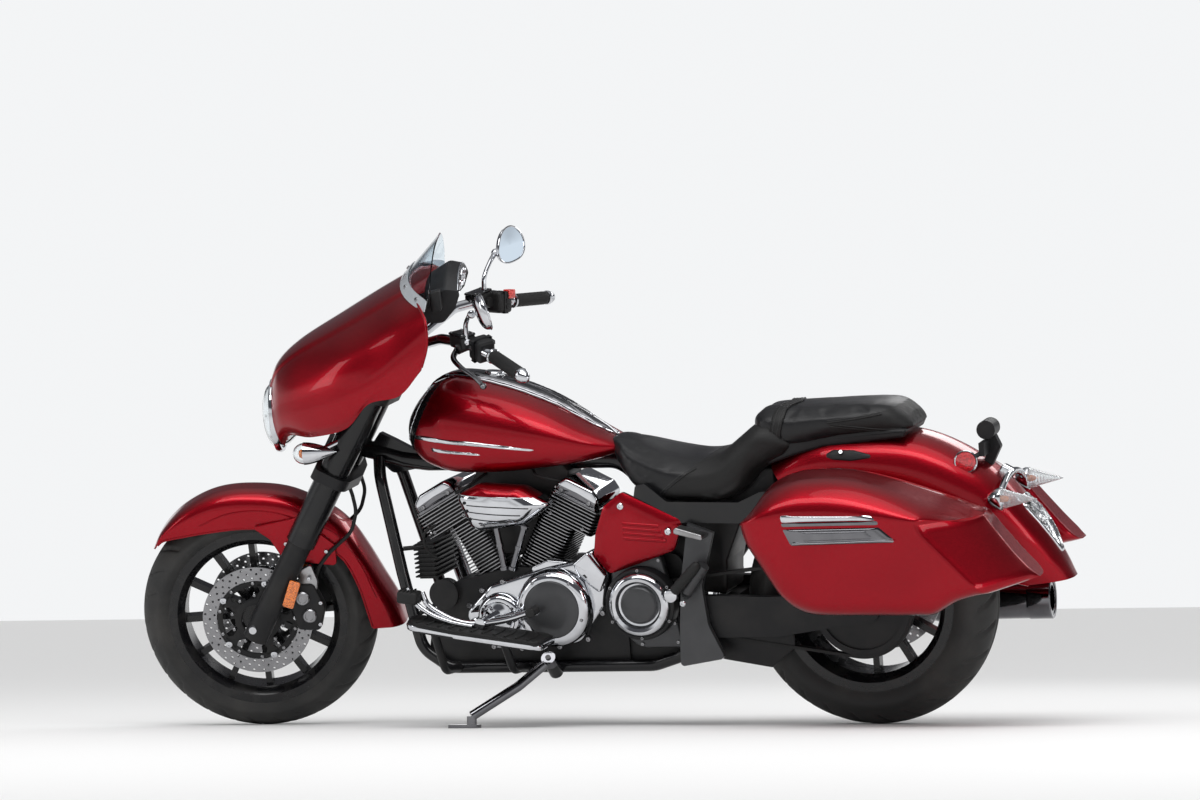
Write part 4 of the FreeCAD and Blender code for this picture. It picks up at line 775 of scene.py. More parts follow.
FAIRING = [
    [(114, 0, 962), (114, -52, 948), (116, -86, 908), (118, -94, 868), (122, -80, 824), (130, -44, 792)],
    [(140, 0, 1014), (142, -66, 1000), (146, -118, 950), (150, -137, 900), (156, -132, 862), (162, -112, 840)],
    [(200, 0, 1061), (203, -92, 1047), (209, -158, 992), (215, -188, 930), (224, -194, 880), (232, -182, 850)],
    [(310, 0, 1117), (314, -112, 1104), (320, -206, 1049), (327, -246, 975), (330, -250, 915), (334, -238, 882)],
    [(410, 0, 1168), (414, -112, 1156), (422, -214, 1106), (430, -266, 1036), (424, -276, 988), (404, -266, 950)],
    [(478, 0, 1200), (482, -112, 1190), (496, -214, 1154), (508, -270, 1096), (506, -286, 1036), (490, -282, 970)],
    [(522, 0, 1220), (530, -112, 1211), (555, -205, 1190), (577, -260, 1158), (577, -286, 1098), (554, -289, 1034)],
]


def fairing_skin():
    """Cowl through its control rows; the bonnet over the lamp stands 5 mm proud between soft steps."""
    points = patch(both_halves(FAIRING), 90, 144)
    half = np.abs(points[..., 1])
    proud = 5.0 * (1 - smoothstep(0.38, 0.46, half / half.max(1, keepdims=True)))
    return points + normals(points, (330, 0, 950)) * proud[..., None]


# Tank sections: x, half width, bottom, top; and one section's shares of half width and of height down
TANK = [(498, 62, 784, 842), (508, 92, 764, 866), (534, 118, 736, 902), (572, 138, 716, 932), (640, 162, 700, 948),
        (760, 170, 698, 924), (890, 152, 706, 872), (1000, 112, 718, 806), (1068, 72, 734, 768), (1086, 44, 742, 756)]
TANK_SECTION = [(0, 0), (0.42, 0.035), (0.76, 0.16), (0.95, 0.36), (1.0, 0.56), (0.94, 0.80), (0.78, 0.96), (0.4, 1.0)]


TANK_CORE = (770, 0, 810)


def loft(stations, section, rows=120, cols=180):
    """Closed body: the section's shares times each station's half width and height."""
    x, half, low, top = np.array(stations, float).T[:, :, None]
    out, down = np.array(section, float).T[:, None]
    left = np.stack([x + 0 * out, -out * half, top - down * (top - low)], -1)
    under = np.stack([x[:, 0], 0 * x[:, 0], low[:, 0]], -1)[:, None]
    return patch(np.concatenate([left, under, left[:, :0:-1] * [1, -1, 1]], 1), rows, cols, loop=True)


# Rear fender on planes through one centre: angle, radius, half width, side depth
TAIL = [(127, 470, 112, 130), (113, 462, 130, 160), (100, 452, 138, 190), (75, 447, 142, 225),
        (50, 446, 138, 230), (28, 452, 124, 220), (14, 470, 96, 180), (6, 488, 66, 110)]
TAIL_CENTRE = (1764.0, 0.0, 328.0)
ARCH = [(0, 0), (0.40, 0.02), (0.76, 0.13), (0.95, 0.34), (1.0, 0.62), (1.0, 1.0)]


def tail_skin():
    """Rear fender: at each angle, the arch's shares of half width across and of side depth inwards."""
    angle, radius, half, depth = np.array(TAIL, float).T[:, :, None]
    out, down = np.array(ARCH, float).T[:, None]
    return patch(both_halves(turned(TAIL_CENTRE, radius - down * depth, -out * half, np.radians(angle))), 100, 112)


# Front fender: crown X, Z and lower edge X, Z
GUARD = [(-258, 541, -240, 555), (-230, 587, -222, 566), (-168, 638, -168, 573), (-81, 673, -90, 580),
         (15, 677, 5, 582), (122, 656, 100, 566), (223, 597, 171, 535), (276, 542, 220, 506), (312, 476, 260, 466),
         (349, 396, 288, 390), (381, 328, 303, 316), (397, 272, 311, 274)]
GUARD_ARCH = [(0, 0), (34, 0.015), (60, 0.11), (76, 0.34), (79.5, 0.62), (79.5, 1.0)]


def guard_skin():
    """Front fender: crown and lower edge joined by the arch's half widths and shares of the way down."""
    top_x, top_z, low_x, low_z = np.array(GUARD, float).T[:, :, None]
    half, down = np.array(GUARD_ARCH, float).T[:, None]
    left = np.stack([top_x + (low_x - top_x) * down, -half + 0 * top_x, top_z + (low_z - top_z) * down], -1)
    return patch(both_halves(left), 110, 92)


# Saddlebags: seam height and how the outline narrows below and above it
BAG_IN, BAG_OUT, BAG_WALL = 190.0, 430.0, 4.0
CASE_ENDS = [(0.0, 1491, 2086), (0.2, 1503, 2113), (0.4, 1530, 2140), (0.6, 1558, 2166), (0.8, 1591, 2193),
             (0.95, 1636, 2213), (1.0, 1660, 2220)]
LID_ENDS = [(0.0, 1491, 2084), (0.5, 1500, 2076), (1.0, 1540, 2050)]
CASE_BOTTOM = [(1400, 362), (1640, 362), (1800, 360), (1930, 359), (1979, 362), (2004, 376), (2029, 390), (2060, 400),
               (2139, 415), (2220, 431), (2260, 440)]
LID_TOP = [(1440, 604), (1500, 650), (1550, 692), (1614, 718), (1676, 724), (1769, 717), (1860, 694), (1949, 662),
           (2009, 636), (2067, 604), (2100, 594)]


def seam(x):
    """Height of the lid's seam: level, a little higher at the front."""
    return 598.0 - 8.0 * smoothstep(1500, 1700, x)


BAG_RING = even(rounded([(-1, -1, 0.30), (1, -1, 0.22), (1, 1, 0.12), (-1, 1, 0.12)], 10), 264)


def bag_rows(share, ends, edge, narrow):
    """Rings of a bag half, at each share of the way from the seam: the unit ring times that row's
    half length and half width, narrowed by a quarter round near the far side, down to its middle."""
    near = fair(ends, np.minimum(share, 1.0))
    late = np.clip((share - edge) / (1 - edge), 0, 1)
    inward = narrow * (1 - np.sqrt(1 - late ** 2))
    shrink = np.clip(2 - share, 0.02, 1) if share.max() > 1 else 1.0
    half = (near[:, 1] - near[:, 0]) / 2
    wide = (BAG_OUT - BAG_IN) / 2 - inward
    x = near.mean(1)[:, None] + BAG_RING[None, :, 0] * (half * shrink)[:, None]
    y = -(BAG_OUT + BAG_IN) / 2 + BAG_RING[None, :, 1] * (wide * shrink)[:, None]
    return x, y


def facet(x, y, z):
    """Behind the crease that runs down to the tail, the outer face turns inwards, softly on the lid."""
    behind = np.maximum(0, x - 1945 - np.maximum(0, 583 - z) * 0.944)
    outer = np.clip((-y - 250) / 150, 0, 1)
    soft = 6 + 0.8 * np.maximum(0, z - 595)
    return y + 0.92 * (np.sqrt(behind ** 2 + soft ** 2) - soft) * outer


def bag_skin(lid):
    """Outer surface of a lid or case: rings between the seam and a height table, its shares past one
    closing the top or bottom."""
    share = np.concatenate([np.linspace(0, 0.55, 11), np.linspace(0.58, 1.0, 18), np.linspace(1.1, 2.0, 9)])
    rise = np.minimum(share, 1.0)[:, None]
    if lid:
        x, y = bag_rows(share, LID_ENDS, 0.22, 84.0)
        z = seam(x) + rise * (fair(LID_TOP, x.ravel()).reshape(x.shape) - seam(x) - 0.16 * (-y - 190))
        return np.stack([x, facet(x, y, z), z], -1)
    x, y = bag_rows(share, CASE_ENDS, 0.80, 40.0)
    z = seam(x) - rise * (seam(x) - fair(CASE_BOTTOM, x.ravel()).reshape(x.shape))
    return np.stack([x, facet(x, y, z), z], -1)


def bag_half(points, core):
    """Hollow half of a bag: the outer rings from their middle to the seam, then the same rings moved
    in by the wall, back to their middle."""
    inner = points - normals(points, core) * BAG_WALL
    inner[0, :, 2] = points[0, :, 2]
    return grid(np.concatenate([points[::-1], inner]), around=True, capped=True)


def cut_rows(points, last, count):
    """The part of a grid before a fractional row number given for each column, in count even rows."""
    at = np.linspace(0, 1, count)[:, None] * last[None]
    low = np.minimum(at.astype(int), len(points) - 2)
    part = (at - low)[..., None]
    col = np.arange(points.shape[1])[None]
    return points[low, col] * (1 - part) + points[low + 1, col] * part


def screen(rise, cols, tall=None):
    """Windshield: straight lines from the curve at its foot to the rounded arc of its top edge, by
    shares of their length or, where `tall` is given, of that many millimetres."""
    s, t = np.linspace(-1, 1, cols)[None], np.asarray(rise, float)[:, None]
    foot = np.stack([500 + 76 * np.abs(s) ** 3.2, 230 * s, 1220 - 42 * s ** 2], -1)
    top = np.stack([600 - 14 * s ** 2, 196 * s, 1318 - 100 * np.abs(s) ** 2.6], -1)
    reach = top - foot
    if tall:
        reach *= tall / np.linalg.norm(reach, axis=-1)[..., None]
    return foot + reach * t[..., None]


def cowl_details():
    """Bright band at the windshield's foot, with its screws."""
    band = screen(np.linspace(-0.2, 1, 8), 70, 26.0)
    out = normals(band, (700, 0, 1150))
    parts = [(sheet(band + out * 3.5, 2.4, (700, 0, 1150)), "plated")]
    for col in (5, 16, 28, 41, 53, 64):
        parts.append((bolt(band[4, col] + out[4, col] * 3, out[4, col], 5.5, 4.0, 12), "brushed"))
    return parts


def headlight_parts():
    """Lamp in the cowl's nose: chrome ring, clear domed lens, faceted bowl behind it and its bulb."""
    nose, ahead = (118, 0, 868), (-1, 0, 0)
    ring = [(2, 80), (8, 82), (12, 87), (10, 93), (2, 95), (-6, 92), (-6, 84)]
    lens = [(0, 84), (14, 82), (25, 72), (34, 52), (39, 28), (40, 4), (37, 4), (36, 27), (31, 50), (23, 69), (12, 78),
            (0, 80)]
    bowl = [(0, 79), (-20, 70), (-40, 54), (-54, 34), (-60, 14), (-63, 14), (-57, 36), (-43, 57), (-23, 73), (0, 82)]
    scaled = np.diag([1.0, 1.0, 1.06, 1.0])
    scaled[2, 3] = -868 * 0.06
    parts = []
    for profile, name in ((ring, "chrome"), (lens, "clear_lens"), (bowl, "reflector")):
        parts.append((lathe(profile, nose, ahead, 72, True).moved(scaled), name))
    parts.append((lathe([(-58, 13), (-40, 13), (-36, 20), (-30, 20), (-22, 12), (-18, 3)], nose, ahead, 24), "chrome"))
    parts.append((lathe([(-62, 60), (-70, 58), (-92, 40), (-98, 12)], nose, ahead, 40), "satin_black"))
    return parts


def bullet_lamp(centre, axis, r, length, tail, bulb):
    """Bullet indicator: chrome cup whose radius grows as 1 - (1 - s)^1.7 from its tail, bright rim, clear
    lens that is half an ellipsoid, a small reflector and a coloured bulb."""
    s = np.linspace(0.004, 1, 14)
    cup = list(zip(tail * (s - 1), r * (1 - (1 - s) ** 1.7))) + [(3, r), (3, r * 0.9), (-4, r * 0.82)]
    a = np.linspace(0, math.pi / 2 - 0.03, 12)
    outer = np.stack([3 + length * np.sin(a), r * 0.94 * np.cos(a)], 1)
    inner = np.stack([3 + (length - 2) * np.sin(a), r * 0.86 * np.cos(a)], 1)[::-1]
    rows = ((cup, False, "chrome"), (np.vstack([outer, inner]), True, "clear_lens"),
            ([(-3, r * 0.5), (8, r * 0.42), (length * 0.5, r * 0.3), (length * 0.6, 1)], False, bulb),
            ([(-3, r * 0.9), (0, r * 0.9), (1, r * 0.5), (0, 2)], False, "reflector"))
    return [(lathe(profile, centre, axis, 40, hollow=hollow), name) for profile, hollow, name in rows]


# Seats: stations (x, half width, low, top) and half sections (share across, share down)
SADDLE = [(1048, 36, 760, 778), (1064, 62, 738, 784), (1092, 98, 700, 778), (1134, 129, 655, 757),
          (1205, 157, 622, 732), (1290, 167, 617, 716), (1360, 167, 618, 728), (1415, 162, 640, 766),
          (1462, 151, 690, 804), (1500, 142, 716, 808), (1535, 128, 735, 788), (1560, 104, 748, 770)]
PILLION = [(1442, 60, 798, 818), (1452, 94, 784, 828), (1478, 117, 764, 836), (1532, 127, 752, 838),
           (1606, 130, 756, 840), (1690, 130, 768, 841), (1780, 124, 773, 841), (1825, 116, 774, 834),
           (1858, 100, 775, 812), (1876, 80, 777, 792)]
SEAT_SECTION = [(0, 0), (0.45, 0.015), (0.80, 0.09), (0.97, 0.30), (1.0, 0.54), (0.97, 0.80), (0.88, 0.97), (0.5, 1.0)]


def rows_of(items, name):
    """One vector of every vertex or face, as rows."""
    flat = np.empty(len(items) * 3)
    items.foreach_get(name, flat)
    return flat.reshape(-1, 3)


def cushion(name, shell, node, cap, grained):
    """Padded piece: the shell remeshed to even 7.2 mm faces, then blown up as cloth for twenty frames,
    with no point moved further than the cap. Faces that pass `grained` get the grained hide."""
    item = added(name, shell.moved(BIKE).mesh(name))
    even_out = item.modifiers.new("even", "REMESH")
    even_out.mode = "VOXEL"
    even_out.voxel_size = 0.0072
    item.data = bpy.data.meshes.new_from_object(item.evaluated_get(bpy.context.evaluated_depsgraph_get()))
    item.modifiers.clear()
    rest = rows_of(item.data.vertices, "co")
    fill = item.modifiers.new("fill", "CLOTH")
    fill.settings.use_pressure = True
    fill.settings.uniform_pressure_force = 4.0
    fill.settings.effector_weights.gravity = 0.0
    fill.point_cache.frame_end = 20
    for number in range(1, 21):
        bpy.context.scene.frame_set(number)
    blown = rows_of(item.evaluated_get(bpy.context.evaluated_depsgraph_get()).data.vertices, "co") - rest
    item.modifiers.clear()
    bpy.context.scene.frame_set(1)
    far = np.linalg.norm(blown, axis=1)[:, None]
    rest = rest + blown * np.minimum(1, cap * MM / np.maximum(far, 1e-9))
    item.data.vertices.foreach_set("co", rest.ravel())
    mesh = item.data
    mesh.name = name
    mesh.update()
    mesh.shade_smooth()
    mesh.materials.clear()
    for hide in ("smooth_leather", "leather"):
        mesh.materials.append(finish(hide))
    back = np.linalg.inv(BIKE)
    middles = rows_of(mesh.polygons, "center") @ back[:3, :3].T + back[:3, 3]
    mesh.polygons.foreach_set("material_index", grained(middles).astype(np.int32))
    once = item.modifiers.new("smooth", "SUBSURF")
    once.levels = once.render_levels = 1
    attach(item, "chassis")
    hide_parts(node)
    out = rows_of(mesh.vertex_normals, "vector") @ back[:3, :3].T
    return Skin(rest @ back[:3, :3].T + back[:3, 3], out=units(out))


def stitched(skin, path, gap=7.0):
    """Piped seam along a path with a row of stitching beside it, on both sides of the seat."""
    path = np.asarray(path, float)
    along = units(np.gradient(path, axis=0))
    beside = path + gap * np.stack([-along[:, 1], along[:, 0]], 1)
    return doubled([(skin.bead(path, 1.9, 0.4, 70), "leather"), (skin.bead(beside, 0.7, 0.3, 90, 6), "thread")])


def strap(skin):
    """Grab strap over the pillion: a band whose profile rises 3 mm between sunk edges, carried round the
    cushion at even angles and leaning back towards the top."""
    turn = np.radians(np.linspace(-128, 128, 90))
    place = np.array([0, 0.04, 0.12, 0.5, 0.88, 0.96, 1.0])
    lift = np.array([-2.0, 2.6, 3.2, 3.6, 3.2, 2.6, -2.0])
    lean = 24 * np.cos(turn)
    x = 1506 + lean[None] + place[:, None] * 32
    spots, normal = skin.wrapped(x, np.broadcast_to(turn, x.shape), 800.0)
    top = spots + normal * lift[:, None, None]
    under = (spots - normal * 2.5)[::-1]
    parts = [(grid(np.concatenate([top, under]).transpose(1, 0, 2), around=True, capped=True), "leather")]
    for row in (1, 5):
        edge = top[row] + normal[row] * 0.4
        parts.append((pipe(edge[::3], 1.3, 90, 8, lean=(1, 0, 0)), "leather"))
    for share in (0.3, 0.7):
        spots, normal = skin.wrapped(1506 + lean + share * 32, turn, 800.0)
        parts.append((pipe((spots + normal * 3.7)[::3], 0.7, 90, 6, lean=(1, 0, 0)), "thread"))
    return parts


# Wheels

def tyre(centre, profile, count, depth):
    """Tyre: a closed section (Y, radius) through its profile and back inside the carcass, turned round
    the axle. Curved grooves sink the tread where the wave of angle and Y passes their edge."""
    steps, spans = 416, 34
    crown, wide = profile[-1][1], max(row[0] for row in profile)
    half = curve_through(profile, spans)
    outer = np.vstack([half * [-1, 1], half[-2::-1]])
    foot, bead = half[0]
    inner = np.array([[foot - 5, bead + 4], [foot * 0.9, bead + 30], [-foot * 0.9, bead + 30], [5 - foot, bead + 4]])
    turn = turns(steps)[:, None]
    y, radius = outer[None, :, 0], outer[None, :, 1]
    across = np.abs(y) / wide
    wave = np.cos(count * (turn + 0.20 * across ** 1.5 + 0.5 * math.pi / count * np.sign(y)))
    groove = smoothstep(0.82, 0.95, wave) * smoothstep(0.16, 0.24, across) * smoothstep(0.99, 0.93, across)
    groove = groove * smoothstep(crown - 42, crown - 30, radius)
    sunk = radius - depth * np.maximum(groove, smoothstep(0.07, 0.04, across))
    sections = np.concatenate([np.stack([y + 0 * turn, sunk], -1), np.broadcast_to(inner, (steps, 4, 2))], 1)
    return grid(turned(centre, sections[..., 1], sections[..., 0], turn), around=True, ringed=True)


def drilled(centre, y, inner, outer, thick, rows, count, hole):
    """Drilled ring: in every cell, loops run from the square rim to the hole's circle on one face, down
    the hole and back to the rim on the other face; two strips close the ring's edges."""
    side, one = np.linspace(-1, 1, 5)[:-1], np.ones(4)
    square = np.concatenate([np.stack(pair, 1) for pair in ((side, -one), (one, side), (-side, one), (-one, -side))])
    circle = units(square)
    step, deep = math.pi / count, (outer - inner) / rows / 2
    ring, cell = [a.reshape(-1, 1) for a in np.meshgrid(np.arange(rows), np.arange(count), indexing="ij")]
    middle = inner + deep * (2 * ring + 1)
    far_turn, near_turn = step * square[:, 0] + 0 * middle, hole * circle[:, 0] / middle
    far, near = middle + deep * square[:, 1], middle + hole * circle[:, 1]
    turn = (step * (2 * cell + ring % 2))[:, None] + np.stack([far_turn, near_turn, near_turn, far_turn], 1)
    level = y + thick / 2 * np.array([1, 1, -1, -1])[None, :, None]
    points = turned(centre, np.stack([far, near, near, far], 1), level, turn)
    strips = []
    for r in (inner, outer):
        faces = [turned(centre, r, y + k * thick / 2, np.arange(4 * count) * step / 2) for k in (1, -1)]
        strips.append(grid(np.stack(faces), around=True))
    return total([grid(points[0], around=True).repeated(points)] + strips)


def carrier(centre, y, rim, arms):
    """Black carrier inside a disc: rim, wide arms and hub ring, with bright bolts at the rim and small
    buttons on the arms."""
    ring = hoop([(-3, rim - 9), (-2, rim - 11), (2, rim - 11), (3, rim - 9), (3, rim + 3), (-3, rim + 3)],
                (centre[0], y, centre[2]), 96)
    hub = hoop([(-5, 44), (5, 44), (5, 58), (3, 61), (-3, 61), (-5, 58)], (centre[0], y, centre[2]), 64)
    arm = prism(rounded([(50, -22, 6), (rim - 24, -9, 8), (rim - 4, -24, 3), (rim - 4, 24, 3), (rim - 24, 9, 8),
                         (50, 22, 6)], 4), (centre[0], y + 3, centre[2]), (1, 0, 0), (0, 0, 1), 6, 1.5)
    heads = []
    for reach, radius, tall, count in ((rim, 9.0, 4.5, arms), (rim - 2, 4.5, 3.0, 2 * arms), (70, 4.5, 3.0, 2 * arms)):
        place = np.array([centre[0] + reach, y - 3, centre[2]])
        button = bolt(place, LEFT, radius, tall, 12) + bolt(place + [0, 6, 0], (0, 1, 0), radius, tall, 12)
        heads.append(around_axle(button, centre, count, 0 if count == arms else 90 / arms))
    return [(ring + hub + around_axle(arm, centre, arms), "satin_black"), (heads[0], "chrome"),
            (heads[1] + heads[2], "brushed")]


# Engine

CRANK = np.array([762.0, 0.0, 315.0])


def bank(side):
    """Matrix from a cylinder's own frame (out, across, up) to the drawing: -1 leans ahead, 1 back."""
    lean = math.radians(28)
    place = np.eye(4)
    place[:3, :3] = np.array([[side * math.cos(lean), 0, side * math.sin(lean)], [0, 1, 0],
                              [-math.sin(lean), 0, math.cos(lean)]])
    place[:3, 3] = CRANK
    return place


def fins(low, high, half, corner, start, pitch, count, thick=3.4):
    """Cooling fins: plates stacked up the cylinder, and the machined bright strip round each rim."""
    edge = rect(low, -half, high, half, corner, 7)
    plate = raised(edge, (0, 0, start), thick, 0.8, 1)
    rim, core = inset(edge, -0.35), inset(edge, 1.2)
    rows = [(core, 0.5), (rim, 0.5), (rim, thick - 0.5), (core, thick - 0.5)]
    rings = np.stack([np.column_stack([r, np.full(len(r), start + z)]) for r, z in rows])
    lifts = np.arange(count)[:, None, None] * np.array([0, 0, pitch])
    return [shell.repeated(shell.points + lifts) for shell in (plate, grid(rings, around=True, ringed=True))]


def cylinder(side):
    """One cylinder: barrel and head blocks, their fins, and the head's screws."""
    black = [raised(rect(-42, -70, 44, 70, 30, 6), (0, 0, 112), 176, 2),
             raised(rect(-34, -84, 92, 84, 12, 5), (0, 0, 284), 74, 3)]
    bright = [bolts([(out, -86, up) for out, up in ((-20, 296), (76, 296), (28, 352))], LEFT, 6, 8, 6)]
    for row in ((-52, 54, 84, 22, 130, 9.0, 17), (-44, 104, 96, 16, 286, 9.0, 8)):
        plate, strip = fins(*row)
        black.append(plate)
        bright.append(strip)
    return [(total(black).moved(bank(side)), "engine_black"), (total(bright).moved(bank(side)), "brushed")]


def rocker(side):
    """Rocker cover: the cast box's side profile with softened edges, its flange and screws; chrome above, and dark
    plating on the lower part and flange as painted shade.
    """
    profile = [(-34, 4, 8), (90, 4, 8), (88, 32, 18), (62, 48, 16), (-20, 48, 18), (-34, 28, 12)]
    box = prism(rounded(profile, 6), (0, 97, 354), (1, 0, 0), UP, 194, 11, 5)
    foot = raised(rect(-40, -96, 96, 96, 14, 5), (0, 0, 353), 8, 2)
    screws = [bolt((out, y, 361), UP, 5.5, 7, 6) for out in (-34, 90) for y in (-80, 80)]
    screws += [bolt((out, 95 * s, 368), (0, s, 0), 6, 5, 12) for out in (-16, 66) for s in (-1, 1)]
    # Below 376 mm the chrome cover turns to dark plating: painted shade on its lower part.
    top, low = (box + foot).split(lambda p: p[:, 2] > 376)
    rows = ((top, "chrome"), (low, "dark_chrome"), (total(screws), "brushed"))
    return [(shell.moved(bank(side)), name) for shell, name in rows]


BOAT = [(652, 650, 16), (716, 680, 40), (832, 670, 44), (917, 622, 6), (838, 568, 50), (694, 554, 32)]


def air_cover():
    """Boat-shaped cover in the V: its outline scaled about one middle while it rises from the engine,
    red above the chrome's edge, with dark lines along its grooves, which are painted shade, and three
    screws at the front."""
    outline = even(rounded(BOAT, 12), 150)
    middle = np.array([790.0, 622.0])
    a = np.linspace(0, math.pi / 2, 12)
    scale = np.concatenate([[0.86, 0.94, 1.0], np.cos(a) ** 0.7])[:-1]
    level = np.concatenate([[-94, -118, -146], -162 - 43 * np.sin(a)])[:-1]
    ring = middle + scale[:, None, None] * (outline - middle)
    points = np.stack([ring[..., 0], np.broadcast_to(level[:, None], ring.shape[:2]), ring[..., 1]], -1)
    fine = patch(points[:, list(range(150)) + [0]], 30, 151)[:, :-1]
    red, bright = grid(fine, around=True, capped=True).split(lambda p: p[:, 2] > 654 - (p[:, 0] - 660) * 0.055)
    skin = Skin(fine, (790, 0, 622))
    edge = skin.bead([(668, 653.5), (720, 650.7), (800, 646.3), (862, 643)], 1.6, 0.5, 50)
    lines = ([(690, 628), (780, 622), (862, 616)], [(694, 610), (770, 603), (838, 598)],
             [(700, 592), (760, 586), (812, 583)])
    # Black beads along the chrome's grooves: painted shade in the grooves.
    dark = [skin.bead(line, 1.5, 0.2, 40) for line in lines]
    spots, out = skin.at([(684, 634), (688, 612), (695, 590)])
    dark += [bolt(p, n, 4.5, 3.5, 12) for p, n in zip(spots, out)]
    return doubled([(red, "candy_red"), (bright + edge, "chrome"), (total(dark), "satin_black")])


def disc_cover(x, z, y, rows, screws=(), finish_name="chrome"):
    """Round cover on the engine's side that it stands on, with its screws."""
    out = (0, math.copysign(1, y), 0)
    parts = [(lathe(rows, (x, y, z), out, 80), finish_name)]
    for reach, radius, count, start in screws:
        screw = bolt((x + radius, y + out[1] * reach, z), out, 4.6, 4, 12)
        parts.append((around_axle(screw, np.array([x, 0, z]), count, start), "brushed"))
    return parts


# Round covers (x, z, y, rows (out, radius), screws (out, radius, count, start), finish): left, then right
ROUND_COVERS = [
    (905, 350, -145, [(0, 103), (30, 103), (44, 100), (54, 92), (59, 84), (60, 76), (57, 73)], [(57, 85, 5, 20)]),
    (905, 350, -196, [(0, 75), (9, 74), (12, 70), (14, 40), (14.5, 1)], (), "grey_cover"),
    (750, 328, -140, [(0, 62), (28, 62), (40, 57), (46, 49), (46, 42), (41, 38), (44, 28), (50, 16), (52, 1)],
     [(45, 46, 3, 90)]),
    (750, 328, -190, [(0, 9), (5, 9), (7, 7), (7, 4), (4, 3)], (), "brushed"),
    (1142, 357, -148, [(0, 95), (32, 95), (40, 92), (43, 86), (40, 82)], [(39, 89, 6, 30)], "satin_black"),
    (1142, 357, -180, [(0, 83), (14, 82), (22, 77), (25, 70), (22, 62), (12, 56), (10, 50)]),
    (1142, 357, -186, [(0, 52), (8, 50), (14, 46), (17, 42), (18, 1)], (), "grey_cover"),
    (870, 335, 130, [(0, 101), (24, 101), (34, 97), (38, 88), (34, 80), (36, 60), (39, 1)], [(36, 90, 6, 0)]),
    (705, 335, 130, [(0, 53), (22, 53), (30, 48), (32, 1)], [(30, 42, 3, 0)]),
]


def crank_covers():
    """Both sides' round covers on their bright webs, and the grey pulley cover."""
    web = slab([(640, 330, 30), (720, 408, 30), (880, 452, 40), (975, 470, 20), (1010, 500, 10), (1052, 430, 20),
                (1036, 350, 20), (960, 250, 40), (720, 236, 40)], -158, -100, 12, 8)
    right = slab([(600, 300, 30), (690, 400, 30), (880, 440, 40), (1000, 400, 30), (1000, 260, 30), (720, 240, 30)],
                 100, 140, 12, 8)
    plate = slab([(1058, 476, 30), (1196, 478, 10), (1243, 236, 10), (1120, 236, 60), (1056, 300, 40)],
                 -152, -122, 6, 8)
    parts = [(web + right, "chrome"), (plate, "grey_cover")]
    for row in ROUND_COVERS:
        parts += disc_cover(*row)
    heads = [(991, 444), (924, 437), (868, 430), (1032, 400), (1030, 330), (985, 262), (905, 243), (800, 240),
             (722, 246), (668, 286), (662, 356), (700, 396), (760, 418)]
    small = [(1066, 440), (1190, 466), (1222, 300), (1228, 250), (1130, 246), (1066, 300)]
    return parts + [(bolts([(x, -157, z) for x, z in heads], LEFT, 7, 6, 12), "brushed"),
                    (bolts([(x, -151, z) for x, z in small], LEFT, 5.5, 5, 6), "brushed")]


def engine_trim():
    """Pushrod tubes with their collars, the bright castings behind them, the plug leads, and the plain
    dark shapes in the V, before the rear wheel and under the swingarm: fills that stand partly for the
    parts there and partly for the shade between them, painted shade."""
    parts = []
    for top, foot in (((734, -112, 574), (751, -112, 440)), ((817, -112, 559), (772, -112, 440))):
        top, foot = np.array(top, float), np.array(foot, float)
        tubes = [pipe([top, (top + foot) / 2, foot], 8.5, 6, 16)]
        for share, radius in ((0.04, 12), (0.5, 10.5), (0.96, 13)):
            middle = top + (foot - top) * share
            tubes.append(pipe([middle - (foot - top) * 0.03, middle, middle + (foot - top) * 0.03], radius, 5, 16))
        parts.append((total(tubes), "dark_chrome"))
    parts.append((slab([(958, 462, 6), (1000, 494, 8), (1049, 428, 10), (1028, 382, 8), (972, 426, 10)], -166, -120,
                       7, 6), "chrome"))
    parts.append((slab([(792, 432, 8), (880, 470, 14), (950, 462, 8), (940, 440, 8), (870, 440, 8)], -140, -100, 5, 6),
                  "chrome"))
    # Dark fills in the V and before the rear wheel: partly the parts there, partly painted shade between them.
    v_fill_and_shade = slab([(650, 480, 10), (700, 470, 8), (850, 470, 8), (905, 560, 10), (930, 690, 10), (900, 726, 12),
                  (690, 726, 12), (640, 640, 10)], -58, 58, 6, 6)
    box = slab([(1150, 380, 10), (1345, 360, 10), (1352, 450, 12), (1395, 548, 20), (1496, 645, 10), (1496, 688, 6),
                (1380, 688, 6), (1310, 650, 12), (1150, 650, 10)], -78, 78, 6, 6)
    # Dark plate under the swingarm: partly a guard, partly painted shade under the machine.
    belly_plate_and_shade = slab([(1300, 266, 6), (1314, 204, 10), (1345, 196, 10), (1466, 174, 8), (1530, 224, 10), (1530, 262, 6)],
                 -122, -114, 2, 4)
    parts.append((belly_plate_and_shade, "satin_black"))
    parts.append((v_fill_and_shade + box, "engine_black"))
    for path in ([(560, -96, 560), (540, -118, 548), (536, -112, 500), (560, -96, 470)],
                 [(600, -60, 640), (640, -104, 652), (676, -96, 672), (700, -60, 690)],
                 [(930, -60, 664), (900, -100, 676), (860, -110, 690), (840, -80, 700)]):
        parts.append((pipe(path, 4.0, 30, 10), "soft_rubber"))
    return parts


